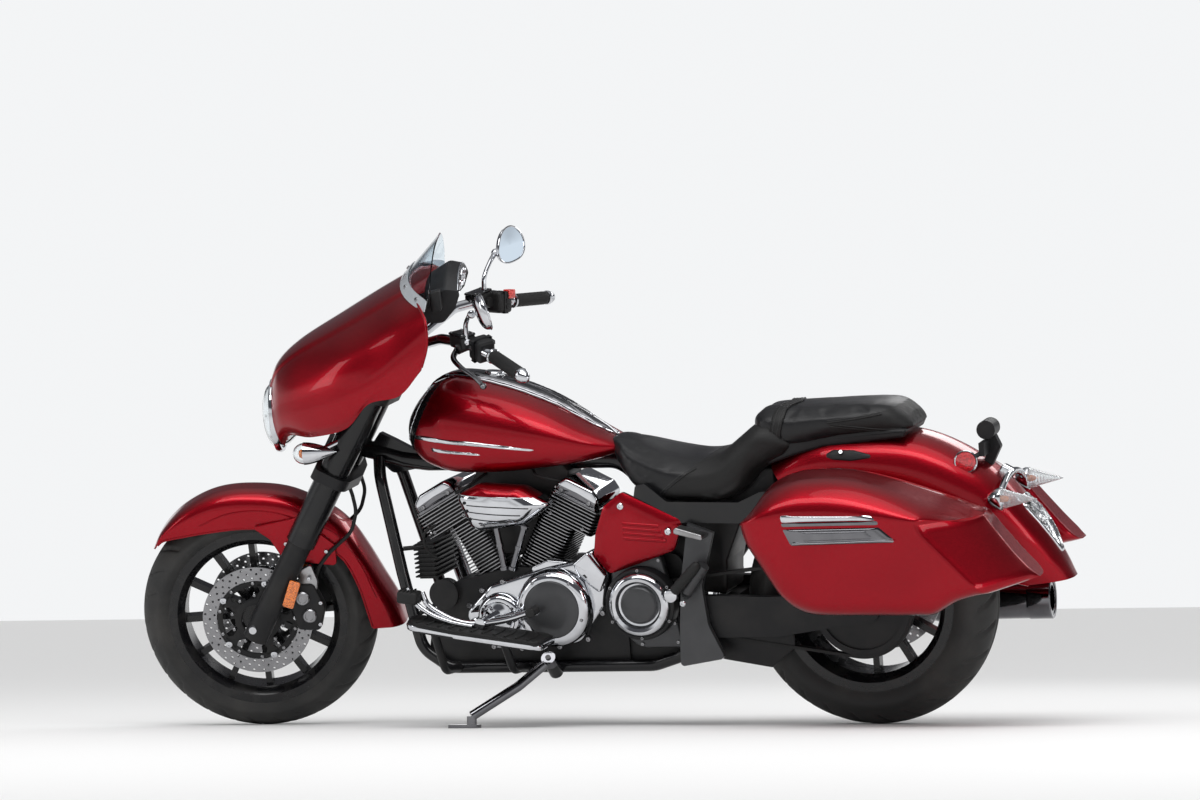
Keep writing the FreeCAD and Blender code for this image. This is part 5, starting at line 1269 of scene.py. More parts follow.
def side_cover():
    """Red cover under the seat's nose: a crowned plate with four ribs and two bright screws."""
    x, z = np.meshgrid(np.linspace(1000, 1290, 30), np.linspace(420, 670, 26), indexing="ij")
    flat = Skin(np.stack([x, -172 + 0.05 * (x - 1140), z], -1), out=np.broadcast_to([0.0, -1.0, 0.0], x.shape + (3,)))
    plate = flat.inlay(outline((1024, 488, 14), (1032, 540, 12), (1058, 612, 16), (1110, 650, 10), (1266, 570, 10),
                               (1240, 494, 14), (1146, 462, 20), (1062, 436, 20)), 15, rings=14, sunk=14, dome=4.0)
    parts = [(plate, "candy_red")]
    for k in range(4):
        rib = [(1112, 570 - 13 * k), (1160, 565 - 13 * k), (1206 + 6 * k, 560 - 13 * k)]
        parts.append((flat.bead(rib, 4.6, 12.5, 40, 12), "candy_red"))
    screws = [bolt((x, -186, z), LEFT, 9, 5, 16) for x, z in ((1109, 615), (1233, 546))]
    return doubled(parts + [(total(screws), "chrome")])


# Tail

def tail_lamp_parts(points):
    """Lamp let into the fender's tail: clear faceted lens over a bright bowl, in a chrome rim."""
    skin = Skin(points, TAIL_CENTRE)
    lens = outline((-34, 588, 14), (34, 588, 14), (50, 566, 16), (38, 512, 40), (13, 446, 8), (-13, 446, 8),
                   (-38, 512, 40), (-50, 566, 16))
    return [(skin.inlay(lens, 15, "rear", rings=12, sunk=-4.0, dome=3.2), "clear_lens"),
            (skin.inlay(lens * [0.96, 0.98] + [0, 10.4], 3.0, "rear", rings=8, sunk=1.0), "reflector"),
            (pipe_loop(skin.at(lens, "rear")[0], 4.0, 10), "chrome")]


def tail_indicators():
    """Cross arm over the tail with a bright cup and a long ridged lens at each end."""
    arm = pipe([(2096, -150, 606), (2099, -104, 630), (2099, -40, 646), (2099, 0, 648), (2099, 40, 646),
                (2099, 104, 630), (2096, 150, 606)], 9, 60, 14)
    foot = slab([(2058, 640, 4), (2096, 630, 4), (2112, 652, 6), (2080, 670, 6)], -22, 22, 5)
    lens = [(2, 27), (12, 26), (14, 24.6)]
    for k in range(1, 11):
        radius = 24.6 * (1 - k / 11.5)
        lens += [(14 + 7.6 * k - 1.2, radius + 1.6), (14 + 7.6 * k, radius)]
    lens += [(99, 0.5), (96, 0.5), (12, 22), (2, 25)]
    cup = [(-27, 1), (-25, 12), (-12, 23), (2, 29), (8, 30), (10, 29), (10, 27), (0, 26), (-8, 20)]
    parts = [(arm + foot, "chrome")]
    for name, rows in (("chrome", cup), ("frosted_lens", lens)):
        shell = lathe(rows, (2098, -156, 606), (1, 0, -0.02), 48, hollow=name != "chrome")
        parts.append((shell.both(), name))
    bulb = lathe([(-6, 9), (12, 9), (20, 8), (27, 4), (29, 1)], (2098, -156, 606), (1, 0, -0.02), 20)
    return parts + [(bulb.both(), "amber")]


def latch(points):
    """Black recess on each side of the tail, in front of the bags' lids, with its release tab."""
    skin = Skin(points, TAIL_CENTRE)
    rim = outline((1640, 722, 6), (1668, 736, 10), (1722, 734, 14), (1790, 716, 5), (1716, 708, 10), (1668, 712, 8))
    spots, out = skin.at([(1690, 728)])
    return doubled([(skin.inlay(rim, 2.5, rings=6, dome=9.0), "black_plastic"),
                    (bolt(spots[0] + out[0] * 2, out[0], 6, 6, 12), "chrome")])


def side_reflector():
    """Round red reflector in its bright ring on the bracket's stem."""
    centre, out = (2006, -98, 693), (0.1, -1, 0)
    ring = lathe([(-4, 29), (2, 30), (4, 28), (3, 26), (-4, 26)], centre, out, 48, hollow=True)
    lens = lathe([(-2, 26.5), (2, 26), (4, 20), (5, 8), (5.2, 1)], centre, out, 48)
    return [(ring, "chrome"), (lens, "red_lens")]


# Bars, feet and fork

def frames_at(place, ahead, side):
    """Matrix whose columns are a direction, the part of another square to it, and their normal."""
    u = unit(ahead)
    v = unit(np.asarray(side, float) - u * np.dot(u, side))
    made = np.eye(4)
    made[:3, :3] = np.stack([u, v, np.cross(u, v)], 1)
    made[:3, 3] = place
    return made


GRIP_AXIS = unit((89, 120, -30))


def grip(side):
    """Ribbed rubber grip with a bright pointed end and inner collar, along its own axis."""
    s = np.linspace(0, 132, 45)
    ribs = 17.4 + 0.9 * (np.cos(s * math.tau / 6) > 0) * (np.abs(s - 66) < 56)
    foot = np.array([742, 278, 1056]) + GRIP_AXIS * 6
    rows = ((np.stack([s, ribs], 1), "soft_rubber"),
            ([(132, 18.5), (136, 19.5), (142, 19), (156, 14), (164, 8), (167, 1)], "chrome"),
            ([(-6, 17), (-5, 20), (0, 20.5), (3, 18)], "chrome"))
    return on_side([(lathe(profile, foot, GRIP_AXIS, 28), name) for profile, name in rows], side > 0)


def controls(side):
    """Switch box, master cylinder with its lid and hand lever of one side."""
    made = frames_at(np.array([712, 238, 1066.0]), GRIP_AXIS, (0.86, -0.45, 0))
    body = raised(rounded([(-26, -27, 10), (28, -25, 8), (28, 25, 8), (-26, 27, 10)], 5), (0, 0, -29), 58, 9, 4)
    seam_ring = raised(rect(-1, -28, 1, 28, 8), (0, 0, -30), 60, 3)
    parts = [((body + seam_ring).moved(made), "satin_black")]
    for u, w in ((8, 12), (8, -4), (12, -18)):
        key = prism(rect(-8, -6, 8, 6, 2), (u, 22, w), (1, 0, 0), (0, 0, -1), 8, 1.5)
        parts.append((key.moved(made), "black_plastic"))
    if side > 0:
        kill = raised(rect(-13, -12, 13, 12, 3), (20, 20, -34), 24, 2.5)
        parts.append((kill.moved(made), "switch_red"))
    along, across = GRIP_AXIS * [1, 1, 0], np.array([-0.8, 0.6, 0])
    tank = prism(rect(-34, -22, 34, 22, 7, 5), (662, 214, 1068), along, across, 34, 5)
    cover = prism(rect(-35, -23, 35, 23, 7, 5), (662, 214, 1102), along, across, 5, 1.5)
    perch = pipe([(694, 206, 1074), (672, 222, 1074), (648, 240, 1070)], 14, 12, 16)
    heads = [np.array([662, 214, 1107]) + u * unit(along) + v * across for u in (-28, 28) for v in (-16, 16)]
    lever = pipe([(646, 236, 1066), (640, 268, 1058), (662, 320, 1044), (700, 372, 1030), (724, 404, 1014)],
                 [8.5, 7.5, 6.5, 6.0, 6.0], 60, 14)
    end = lathe([(-8, 4), (-6, 7), (0, 9), (6, 7), (9, 1)], (726, 407, 1012), (0.4, 0.6, -0.25), 20)
    parts += [(tank + perch, "satin_black"), (cover, "gloss_black"), (bolts(heads, UP, 3, 2, 12), "brushed"),
              (lever + end, "dark_chrome"), (bolt((646, 236, 1078), UP, 8, 4, 6), "chrome")]
    return on_side(parts, side > 0)


def mirrors():
    """Teardrop mirrors: chrome shell domed to the front, rolled rim, blue glass and curved stem."""
    corners = [(-62, -24, 22), (-28, -44, 26), (44, -40, 30), (66, 0, 30), (34, 52, 34), (-20, 44, 40)]
    head = even(rounded(corners, 8), 96)
    head = np.mean([np.roll(head, k, 0) for k in range(-7, 8)], 0) * 1.05
    a = np.linspace(0.05, math.pi / 2, 10)[:, None, None]
    spots = head[None] * np.sin(a) ** 0.7
    parts = []
    for side, toe in ((-1, math.radians(16)), (1, math.radians(34))):
        out = unit((math.cos(toe), -side * math.sin(toe), 0.18))
        across = unit(np.cross(UP, out)) * side
        up = np.cross(out, across) * side
        centre = np.array([742, side * 352, 1192.0])
        rings = centre + spots[..., :1] * across + spots[..., 1:] * up - out * 20 * np.cos(a)
        rim = centre + head[:, :1] * across + head[:, 1:] * up
        back = rim * 0.97 + centre * 0.03 + out * 3
        dome = grid(np.concatenate([rings, (rim + out * 4)[None], back[None]]), around=True, capped=True)
        glass = np.stack([rim * k + centre * (1 - k) + out * (5.5 - 1.5 * k) for k in (0.05, 0.5, 0.96)])
        stem = pipe([(676, side * 238, 1086), (678, side * 246, 1130), (694, side * 282, 1166),
                     (704, side * 318, 1178)], [7.5, 6.5, 6, 7], 50, 14)
        collar = lathe([(-6, 11), (0, 13), (6, 12), (9, 8)], (676, side * 238, 1088), UP, 24)
        joint = lathe([(-8, 6), (-4, 10), (4, 11), (10, 9), (12, 3)], (706, side * 322, 1181),
                      (0.4, side * 0.8, 0.3), 24)
        parts += [(dome + pipe_loop(rim + out * 4, 2.6) + stem + collar + joint, "chrome"),
                  (grid(np.concatenate([glass, glass[::-1] - out * 2]), around=True, capped=True), "mirror_glass")]
    return parts


def hood():
    """Instrument hood: its side profile scaled down in height towards both ends as 0.89 - 0.30 |s|^2.2."""
    profile = even(rounded([(548, 1120, 8), (604, 1112, 20), (640, 1178, 20), (656, 1250, 10), (620, 1262, 16),
                            (560, 1226, 20)], 6), 90)
    share = np.sin(np.linspace(-math.pi / 2, math.pi / 2, 33))[:, None]
    tall = (0.89 - 0.30 * np.abs(share) ** 2.2) * np.where(np.abs(share) > 0.999, 0.93, 1.0)
    return np.stack([profile[None, :, 0] + 0 * share, 118 * share + 0 * profile[None, :, 0],
                     1112 + (profile[None, :, 1] - 1112) * tall], -1)


def dash():
    """Hood on its black stay, with a bright rear edge, three dials in chrome rings and the box beside it."""
    points = hood()
    crest = points[2:-2, np.argmax(points[16, :, 0] + points[16, :, 2])]
    stays = [pipe([(330, -234, 1000), (330, 0, 1000), (330, 234, 1000)], 9, 30),
             pipe([(330, 0, 1000), (262, 0, 980), (214, 0, 900)], 9, 24)]
    stays += [pipe([(330, y, 1000), (440, y * 0.9, 1100), (556, y * 0.8, 1150)], 7, 30) for y in (-110, 110)]
    stays += [slab([(326, 985), (420, 985), (420, 1010), (326, 1010)], y - 6, y + 6, 1.0) for y in (-50, 50)]
    parts = [(grid(points, around=True, capped=True) + total(stays), "black_plastic"),
             (pipe(crest, 2.0, 60, 8, lean=(0, 0, 1)), "chrome")]
    for y, z, r in ((-66, 1188, 24), (0, 1200, 29), (66, 1188, 24)):
        centre, out = (642 + (z - 1171) * 0.22, y, z), (0.97, 0, -0.22)
        ring = lathe([(-6, r), (3, r), (5, r - 2), (5, r - 4), (-2, r - 5), (-6, r - 5)], centre, out, 40, hollow=True)
        parts += [(ring, "chrome"), (lathe([(-5, r - 4), (1, r - 4.5), (1.6, 1)], centre, out, 40), "dial_face")]
    box = prism(rect(-14, -28, 14, 28, 5), (598, -152, 1186), (1, 0, 0.2), UP, 30, 4)
    return parts + [(box, "satin_black")]


def calipers():
    """Each fork leg's caliper: cast body with two round caps, a grey bracket and bolts."""
    body = slab([(116, 300, 12), (176, 292, 16), (196, 356, 16), (172, 424, 16), (132, 426, 12), (104, 366, 10)],
                -120, -82, 5)
    web = slab([(122, 404, 6), (140, 464, 10), (170, 478, 8), (184, 430, 10), (176, 396, 8)], -112, -94, 3)
    caps = [lathe([(-2, 19), (5, 19), (8, 16), (8, 12), (6, 11), (6, 1)], (x, -120, z), LEFT, 36)
            for x, z in ((139, 388), (152, 338))]
    heads = bolts([(178, -118, 312), (163, -118, 442), (186, -118, 372)], LEFT, 6.5, 7, 6)
    return doubled([(body, "satin_black"), (web, "cast_metal"), (total(caps), "brushed"), (heads, "chrome")])


def fork_details(guard):
    """Bracket and crease of the front fender, amber side reflectors on their pins and the axle caps."""
    skin = Skin(guard, (0, 0, 320))
    plate = slab([(20, 588, 6), (150, 604, 10), (240, 520, 12), (238, 462, 12), (171, 474, 16), (90, 502, 8),
                  (66, 550, 20)], -92, -80, 2.5, 8)
    crease = skin.bead([(-120, 600), (-44, 626), (60, 626), (144, 598), (242, 545), (293, 466), (330, 360)],
                       2.4, -0.6, 120)
    amber = prism(rect(-15, -38, 15, 38, 5), (117, -152, 413), (0.92, 0, -0.386), (0.386, 0, 0.92), 10, 2.5)
    heads = bolts([(108, -93, 536), (214, -93, 506)], LEFT, 6, 5, 6)
    cap = lathe([(-4, 11), (4, 11), (7, 9), (7, 6), (4, 5), (4, 1)], (0, -146, 320), LEFT, 32)
    return doubled([(plate + crease, "candy_red"), (amber, "amber"), (heads + cap, "chrome"),
                    (bolt((117, -118, 413), LEFT, 6, 32, 12), "satin_black")])


def board(side):
    """Footboard trim: bright edge strip and ribbed rubber mat, tilted along the outline of the black plate."""
    plan = even(rounded([(540, -262, 20), (560, -372, 46), (700, -386, 60), (928, -372, 26), (928, -244, 16)], 10), 160)
    slope = math.tan(math.radians(-9.5))
    middle = plan.mean(0)

    def band(*rows):
        spots = [middle + (plan - middle) * scale for scale, _ in rows]
        return grid(np.stack([np.column_stack([s, 347 + slope * (s[:, 0] - 540) + row[1]])
                              for s, row in zip(spots, rows)]), around=True, ringed=True)

    edge = band((0.985, -9), (1.0, -6), (1.004, 2), (0.99, 6), (0.955, 6), (0.955, -9))
    mat = band((0.955, 2), (0.95, 9), (0.93, 12), (0.5, 12), (0.02, 12), (0.02, 0), (0.955, 0))
    ribs = []
    for x in range(588, 889, 30):
        z = 358.5 + slope * (x - 540)
        ribs.append(pipe([(x, -272, z), (x + 4, -310, z), (x, -360, z)], 4, 14, 8, UP))
    return on_side([(edge, "chrome"), (mat + total(ribs), "soft_rubber")], side < 0)


def pedals():
    """Shift lever with its bright strap, ribbed pad and link rod on the left; brake pedal on the right."""
    arm = pipe([(588, -302, 420), (600, -304, 392), (640, -306, 362), (700, -306, 338), (752, -306, 336)],
               [8, 8, 9, 10, 10], 50, 14)
    strap = pipe([(556, -322, 436), (572, -322, 402), (612, -322, 368), (664, -322, 346), (728, -322, 332)],
                 [6, 7, 7, 7, 6], 50, 12)
    heel = pipe([(752, -306, 336), (820, -306, 346), (896, -308, 368)], [9, 8, 7], 40, 14)
    pad = prism(rect(-28, -24, 28, 24, 7, 5), (558, -322, 396), (1, 0, -0.15), (0, 1, 0), 34, 9, 4)
    heel_pad = lathe([(-26, 8), (-24, 12), (24, 12), (26, 8)], (898, -326, 370), (0, 1, 0), 20)
    grooves = [pipe([(x, -344, 431 - 0.15 * (x - 558)), (x, -300, 431 - 0.15 * (x - 558))], 2.2, 5, 8, lean=(0, 0, 1))
               for x in (542, 552, 562, 572)]
    rod = pipe([(703, -235, 327), (790, -235, 341), (874, -235, 354)], 5.5, 20, 12)
    ends = [lathe([(-9, 8), (-6, 11), (6, 11), (9, 8)], (x, -235, z), (0, 1, 0), 20)
            for x, z in ((703, 327), (874, 354))]
    shaft = lathe([(0, 10), (176, 10), (182, 14), (190, 14), (192, 4)], (748, -132, 338), LEFT, 24)
    crank = pipe([(748, -240, 338), (726, -240, 332), (703, -236, 327)], 8, 12, 12)
    brake = pipe([(562, 330, 404), (600, 322, 386), (640, 312, 372), (700, 308, 350), (748, 306, 338)],
                 [8, 8, 9, 10, 10], 50, 14)
    plate = prism(rect(-32, -26, 32, 26, 9, 5), (560, 327, 396), (1, 0, -0.1), (0, 1, 0), 16, 4)
    pivot = lathe([(0, 10), (166, 10), (172, 14), (178, 14), (180, 4)], (748, 146, 338), (0, 1, 0), 24)
    return [(arm + strap + heel + shaft + rod + total(ends) + brake + pivot, "chrome"), (crank, "satin_black"),
            (pad + total(grooves) + heel_pad + plate, "soft_rubber")]


def pegs():
    """Bright caps, joints and bolts of the passenger pegs' plates, and ribbed rubber on the folded pegs."""
    top = slab([(1262, 566, 8), (1340, 542, 8), (1338, 528, 6), (1262, 548, 6)], -236, -186, 4)
    joint = lathe([(-10, 14), (-8, 17), (8, 17), (10, 14)], (1240, -222, 386), (0, 1, 0), 28)
    rubber = lathe([(0, 9), (4, 14), (20, 13), (24, 15), (44, 13), (48, 15), (68, 13), (72, 15), (92, 13), (98, 12),
                    (104, 6)], (1250, -232, 396), (0.70, 0, 0.71), 20)
    heads = bolts([(1274, -232, 367), (1256, -156, 601), (1334, -156, 568)], LEFT, 8, 6, 12)
    return doubled([(joint + heads, "chrome"), (top, "cast_metal"), (rubber, "soft_rubber")])


def muffler_end():
    """Bright tip of the muffler, hollow inside, with the seams' bands."""
    start, end = np.array([1180, 244, 262.0]), np.array([2118, 286, 266.0])
    axis = unit(end - start)
    tip = lathe([(-60, 53.2), (-56, 54.5), (0, 54.5), (3, 52), (2, 44), (-50, 40), (-58, 40)], end, axis, 56, True)
    band = [(-8, 51), (-8, 53), (-6, 54), (6, 54), (8, 53), (8, 51)]
    bands = [lathe(band, start + axis * reach, axis, 56, True) for reach in (40, 300, 640)]
    return [(tip + total(bands), "dark_chrome")]


# Stage

def ground(settings):
    """Pale floor: a wide disc of rings whose radius grows as a power."""
    sides, rings = 96, 8
    t, radius = turns(sides), 90.0 * np.linspace(0.05, 1, rings)[:, None] ** 2
    disc = grid(np.stack([radius * np.cos(t), radius * np.sin(t), 0 * radius * t], -1), around=True)
    fan = [(sides * rings, k, (k + 1) % sides, -1) for k in range(sides)]
    mesh = Shell(np.vstack([disc.points, [0, 0, 0]]), np.vstack([disc.faces, fan])).mesh("floor")
    work = bmesh.new()
    work.from_mesh(mesh)
    bmesh.ops.recalc_face_normals(work, faces=work.faces)
    if work.faces[0].normal.z < 0:
        bmesh.ops.reverse_faces(work, faces=work.faces)
    work.to_mesh(mesh)
    work.free()
    f = Finish("floor", settings.floor_colour, 0.7)
    grain = f.noise(30.0, 4.0)
    f.mix(grain, settings.floor_colour, tuple(min(1.0, c * 1.02) for c in settings.floor_colour))
    mesh.materials.append(f.bump(grain, 0.05, 0.001).material)
    added("floor", mesh)


def lamp(name, place, aim, size, watts):
    """Softbox of a width and a height at a place, turned to an aim."""
    data = bpy.data.lights.new(name, "AREA")
    data.shape = "RECTANGLE"
    data.size, data.size_y = size
    data.energy = watts
    item = added(name, data)
    item.location = place
    item.rotation_euler = (Vector(aim) - Vector(place)).to_track_quat("-Z", "Y").to_euler()


def sun(strength):
    """Wide soft light from above the machine's left, the same over the whole floor."""
    data = bpy.data.lights.new("sun", "SUN")
    data.energy, data.angle = strength, math.radians(50)
    added("sun", data).rotation_euler = Vector((-0.15, 0.35, -1.0)).to_track_quat("-Z", "Y").to_euler()


def surroundings(settings):
    """World: seen directly, in gloss or through glass it is the pale backdrop; elsewhere a soft fill."""
    world = bpy.data.worlds.new("studio")
    bpy.context.scene.world = world
    world.use_nodes = True
    tree = world.node_tree
    tree.nodes.clear()
    path = tree.nodes.new("ShaderNodeLightPath")
    camera_ray, through_ray, gloss_ray = [Wire(tree, path.outputs[f"Is {kind} Ray"])
                                          for kind in ("Camera", "Transmission", "Glossy")]
    coords = tree.nodes.new("ShaderNodeTexCoord")
    split = tree.nodes.new("ShaderNodeSeparateXYZ")
    tree.links.new(coords.outputs["Generated"], split.inputs[0])
    height = Wire(tree, split.outputs[2])
    tone = blend(tree, height.fade(0.02, 0.7), (0.16, 0.16, 0.16), (1.0, 1.0, 1.0))
    wall = blend(tree, height.fade(0.15, 0.25) - height.fade(0.62, 0.95) * 0.6, settings.backdrop, settings.ceiling)
    mixer = tree.nodes.new("ShaderNodeMixShader")
    plug(tree, mixer.inputs[0], (camera_ray + through_ray + gloss_ray).fade(0.0, 1.0))
    for slot, colour, strength in ((1, tone, settings.fill), (2, wall, 1.0)):
        light = tree.nodes.new("ShaderNodeBackground")
        plug(tree, light.inputs["Color"], colour)
        light.inputs["Strength"].default_value = strength
        tree.links.new(light.outputs[0], mixer.inputs[slot])
    out = tree.nodes.new("ShaderNodeOutputWorld")
    tree.links.new(mixer.outputs[0], out.inputs["Surface"])


def camera():
    """Camera of the photograph: it stands on the machine's left, 18.9 degrees behind square on,
    near the floor, with a long lens."""
    azimuth, pitch, roll, far = math.radians(18.8975), math.radians(2.7747), math.radians(-0.6611), 10.9833
    place = Vector((0.9524 + far * math.sin(azimuth) + BIKE[0, 3], -far * math.cos(azimuth) + BIKE[1, 3], 0.32596))
    look = Vector((-math.sin(azimuth) * math.cos(pitch), math.cos(azimuth) * math.cos(pitch), math.sin(pitch)))
    right = Vector((math.cos(azimuth), math.sin(azimuth), 0))
    up = right.cross(look)
    level = math.cos(roll) * right + math.sin(roll) * up
    above = math.cos(roll) * up - math.sin(roll) * right
    data = bpy.data.cameras.new("camera")
    data.lens, data.sensor_width, data.clip_end = 124.117, 36.0, 100.0
    item = added("camera", data)
    item.matrix_world = Matrix.Translation(place) @ Matrix((level, above, -look)).transposed().to_4x4()
    bpy.context.scene.camera = item


# Operators

class CruiserSettings(bpy.types.PropertyGroup):
    """Colours and strengths of the stage"""
    floor_colour: bpy.props.FloatVectorProperty(name="Floor", description="Colour of the floor", size=3,
                                                subtype="COLOR", default=(0.80, 0.80, 0.80))
    backdrop: bpy.props.FloatVectorProperty(name="Backdrop", description="Colour behind the machine", size=3,
                                            subtype="COLOR", default=(0.90, 0.91, 0.92))
    ceiling: bpy.props.FloatVectorProperty(name="Ceiling", description="Colour above the backdrop", size=3,
                                           subtype="COLOR", default=(0.10, 0.10, 0.11))
    fill: bpy.props.FloatProperty(name="Fill light", description="Strength of the soft light all round",
                                  default=0.75, min=0.0, max=2.0)
    key_watts: bpy.props.FloatProperty(name="Key light", description="Strength of the overhead softbox",
                                       default=84.0, min=0.0, subtype="POWER")
    sun: bpy.props.FloatProperty(name="Sun", description="Strength of the wide overhead light", default=0.84, min=0.0)


class CRUISER_OT_stage(bpy.types.Operator):
    """Floor, soft light and the camera"""
    bl_idname = "cruiser.stage"
    bl_label = "Stage"

    def execute(self, context):
        settings = context.scene.cruiser
        bpy.context.scene.view_settings.view_transform = "Standard"
        ground(settings)
        surroundings(settings)
        sun(settings.sun)
        lamp("softbox", (0.3, -3.0, 4.0), (0, 0, 0.5), (5.0, 1.2), settings.key_watts)
        lamp("front_strip", (-4.5, -2.6, 2.4), (0, 0, 0.6), (1.0, 2.5), settings.key_watts * 0.3)
        lamp("rim", (1.5, 3.6, 3.0), (0, 0, 0.6), (4.0, 0.8), settings.key_watts * 0.4)
        lamp("tail_strip", (5.0, -2.4, 1.8), (1.6, 0, 0.6), (1.0, 2.0), settings.key_watts * 0.35)
        camera()
        return {"FINISHED"}


class CRUISER_OT_dress(bpy.types.Operator):
    """Finishes of the CAD nodes that stay in sight"""
    bl_idname = "cruiser.dress"
    bl_label = "Finishes"

    def execute(self, context):
        for name, nodes in DRESSES.items():
            for node in nodes:
                dress(node, name)
        return {"FINISHED"}


class CRUISER_OT_fairing(bpy.types.Operator):
    """Cowl with its raised bonnet, windshield and band, headlight and front indicators"""
    bl_idname = "cruiser.fairing"
    bl_label = "Fairing"

    def execute(self, context):
        points = fairing_skin()
        parts = [(sheet(points, 4.5, (330, 0, 950)), "candy_red"), (pipe(points[-1, ::3], 3.4, 120, 10), "candy_red")]
        piece("fairing_cowl", parts, "steering", ["fairing"])
        glass = sheet(screen(np.linspace(0, 1, 24), 80), 4.0, (700, 0, 1150))
        piece("windshield_screen", [(glass, "clear_screen")], "steering", ["windshield"])
        piece("windshield_band", cowl_details(), "steering")
        piece("headlight_unit", headlight_parts(), "steering", ["headlight"])
        lamps = doubled(bullet_lamp((204, -168, 803), (-1, 0, 0.02), 30, 29, 86, "amber"))
        stem = pipe([(236, -168, 803), (262, -160, 812), (292, -142, 820)], 8, 16, 10)
        piece("front_indicator_lamps", lamps + [(stem.both(), "chrome")], "steering", ["front_indicators"])
        return {"FINISHED"}


class CRUISER_OT_tank(bpy.types.Operator):
    """Fuel tank with its black nose cover, bright spears and console"""
    bl_idname = "cruiser.tank"
    bl_label = "Tank"

    def execute(self, context):
        points = loft(TANK, TANK_SECTION)
        piece("tank_shell", [(grid(points, around=True, capped=True), "candy_red")], "chassis",
              ["fuel_tank"])
        skin = Skin(points, TANK_CORE)
        edge = points[..., 0] - (points[..., 2] - 800) * 0.46
        last, front = [np.argmax(edge > x, axis=0).astype(float) for x in (531, 509)]
        nose = cut_rows(points, last, 16)
        ahead = nose + normals(nose, TANK_CORE) * 1.6
        line = cut_rows(points + normals(points, TANK_CORE) * 1.6, front, 16)[-1]
        parts = [(grid(np.concatenate([ahead, nose[::-1] - normals(nose, TANK_CORE)[::-1] * 1.5]), around=True,
                       ringed=True), "gloss_black"),
                 (pipe_loop(line, 1.6), "chrome")]
        high = [(521, 806), (563, 806), (640, 797), (702, 792), (790, 779), (877, 763), (873, 759), (790, 770),
                (702, 780), (640, 785), (563, 793), (526, 796)]
        low = [(584, 774), (659, 766), (700, 762), (728, 756), (727, 753), (700, 755), (659, 757), (584, 764)]
        for shape in (high, low):
            parts.append((skin.inlay(even(np.array(shape, float), 80), 3.5, dome=3.0).both(), "chrome"))
        piece("tank_trim", parts, "chassis")
        plan = [(545, 28), (600, 38), (680, 47), (760, 50), (850, 46), (940, 36), (1010, 24), (1056, 11)]
        rim = np.array([(x, -y) for x, y in plan] + [(x, y) for x, y in plan[::-1]], float)
        cover = skin.inlay(even(rim, 140), 13, "top", rings=12, dome=10.0)
        bright = [(pipe_loop(skin.at(even(rim, 140), "top")[0] + [0, 0, 3.5], 1.9), "chrome")]
        cap = lathe([(0, 26), (5, 26), (9, 24), (11, 20), (12, 8), (12.5, 1)], (725, 0, 944), (0.14, 0, 1), 48)
        neck = lathe([(-14, 30), (-2, 30), (1, 27), (1, 10)], (725, 0, 944), (0.14, 0, 1), 48)
        screw = bolt(skin.at([(985, 0)], "top")[0][0] + [0, 0, 12], (0.5, 0, 0.85), 7, 5, 12)
        piece("tank_console_cover", [(cover, "dark_chrome"), (neck, "dark_chrome"), (cap, "chrome"),
                                     (screw, "chrome")] + bright, "chassis", ["tank_console"])
        return {"FINISHED"}


class CRUISER_OT_fenders(bpy.types.Operator):
    """Front and rear fenders with rolled edges"""
    bl_idname = "cruiser.fenders"
    bl_label = "Fenders"

    def execute(self, context):
        guard = guard_skin()
        parts = [(sheet(guard, 3.5, (0, 0, 320)), "candy_red"),
                 (pipe(guard[::3, 0], 3.0, 140, 8).both(), "candy_red")]
        piece("front_fender_shell", parts, "steering", ["front_fender"])
        tail = tail_skin()
        parts = [(sheet(tail, 3.5, TAIL_CENTRE), "candy_red"), (pipe(tail[::3, 0], 3.0, 140, 8).both(), "candy_red")]
        piece("rear_fender_shell", parts, "chassis", ["rear_fender"])
        return {"FINISHED"}


class CRUISER_OT_bags(bpy.types.Operator):
    """Hard saddlebags: cases, lids and their bright handles"""
    bl_idname = "cruiser.bags"
    bl_label = "Saddlebags"

    def execute(self, context):
        case, lid = bag_skin(False), bag_skin(True)
        case_core, lid_core = (1820, -310, 520), (1800, -310, 640)
        for label, shell in (("bag_case", bag_half(case, case_core)), ("bag_lid", bag_half(lid, lid_core))):
            for side in ("left", "right"):
                body = "chassis" if label == "bag_case" else "lid_" + side
                piece(f"{label}_shell_{side}", on_side([(shell, "candy_red")], side == "left"), body,
                      [f"{label}_{side}"])
        on_case, on_lid = Skin(case, case_core), Skin(lid, lid_core)
        bar = on_lid.inlay(outline((1606, 623, 5), (1836, 618, 6), (1853, 605, 2), (1610, 605, 2)), 9, dome=5)
        strip = on_lid.inlay(outline((1609, 604, 2), (1855, 604, 2), (1857, 594, 2), (1610, 594, 2)), 5, dome=9)
        panel = on_case.inlay(outline((1611, 588, 2), (1858, 588, 2), (1903, 549, 5), (1630, 546, 8)), 6, dome=9)
        inner = on_case.inlay(outline((1640, 582, 3), (1838, 582, 3), (1862, 559, 3), (1652, 556, 3)), 8, dome=9)
        frame_line = on_case.bead([(1636, 553), (1750, 554), (1866, 556), (1896, 555)], 1.8, 6.5, 30)
        for side in ("left", "right"):
            rows = {"chassis": [(panel, "dark_chrome"), (inner, "dark_chrome"), (frame_line, "chrome")],
                    "lid_" + side: [(bar, "chrome"), (strip, "dark_chrome")]}
            for body, trim in rows.items():
                label = "bag_handle_" if body == "chassis" else "bag_bar_"
                piece(label + side, on_side(trim, side == "left"), body)
        return {"FINISHED"}


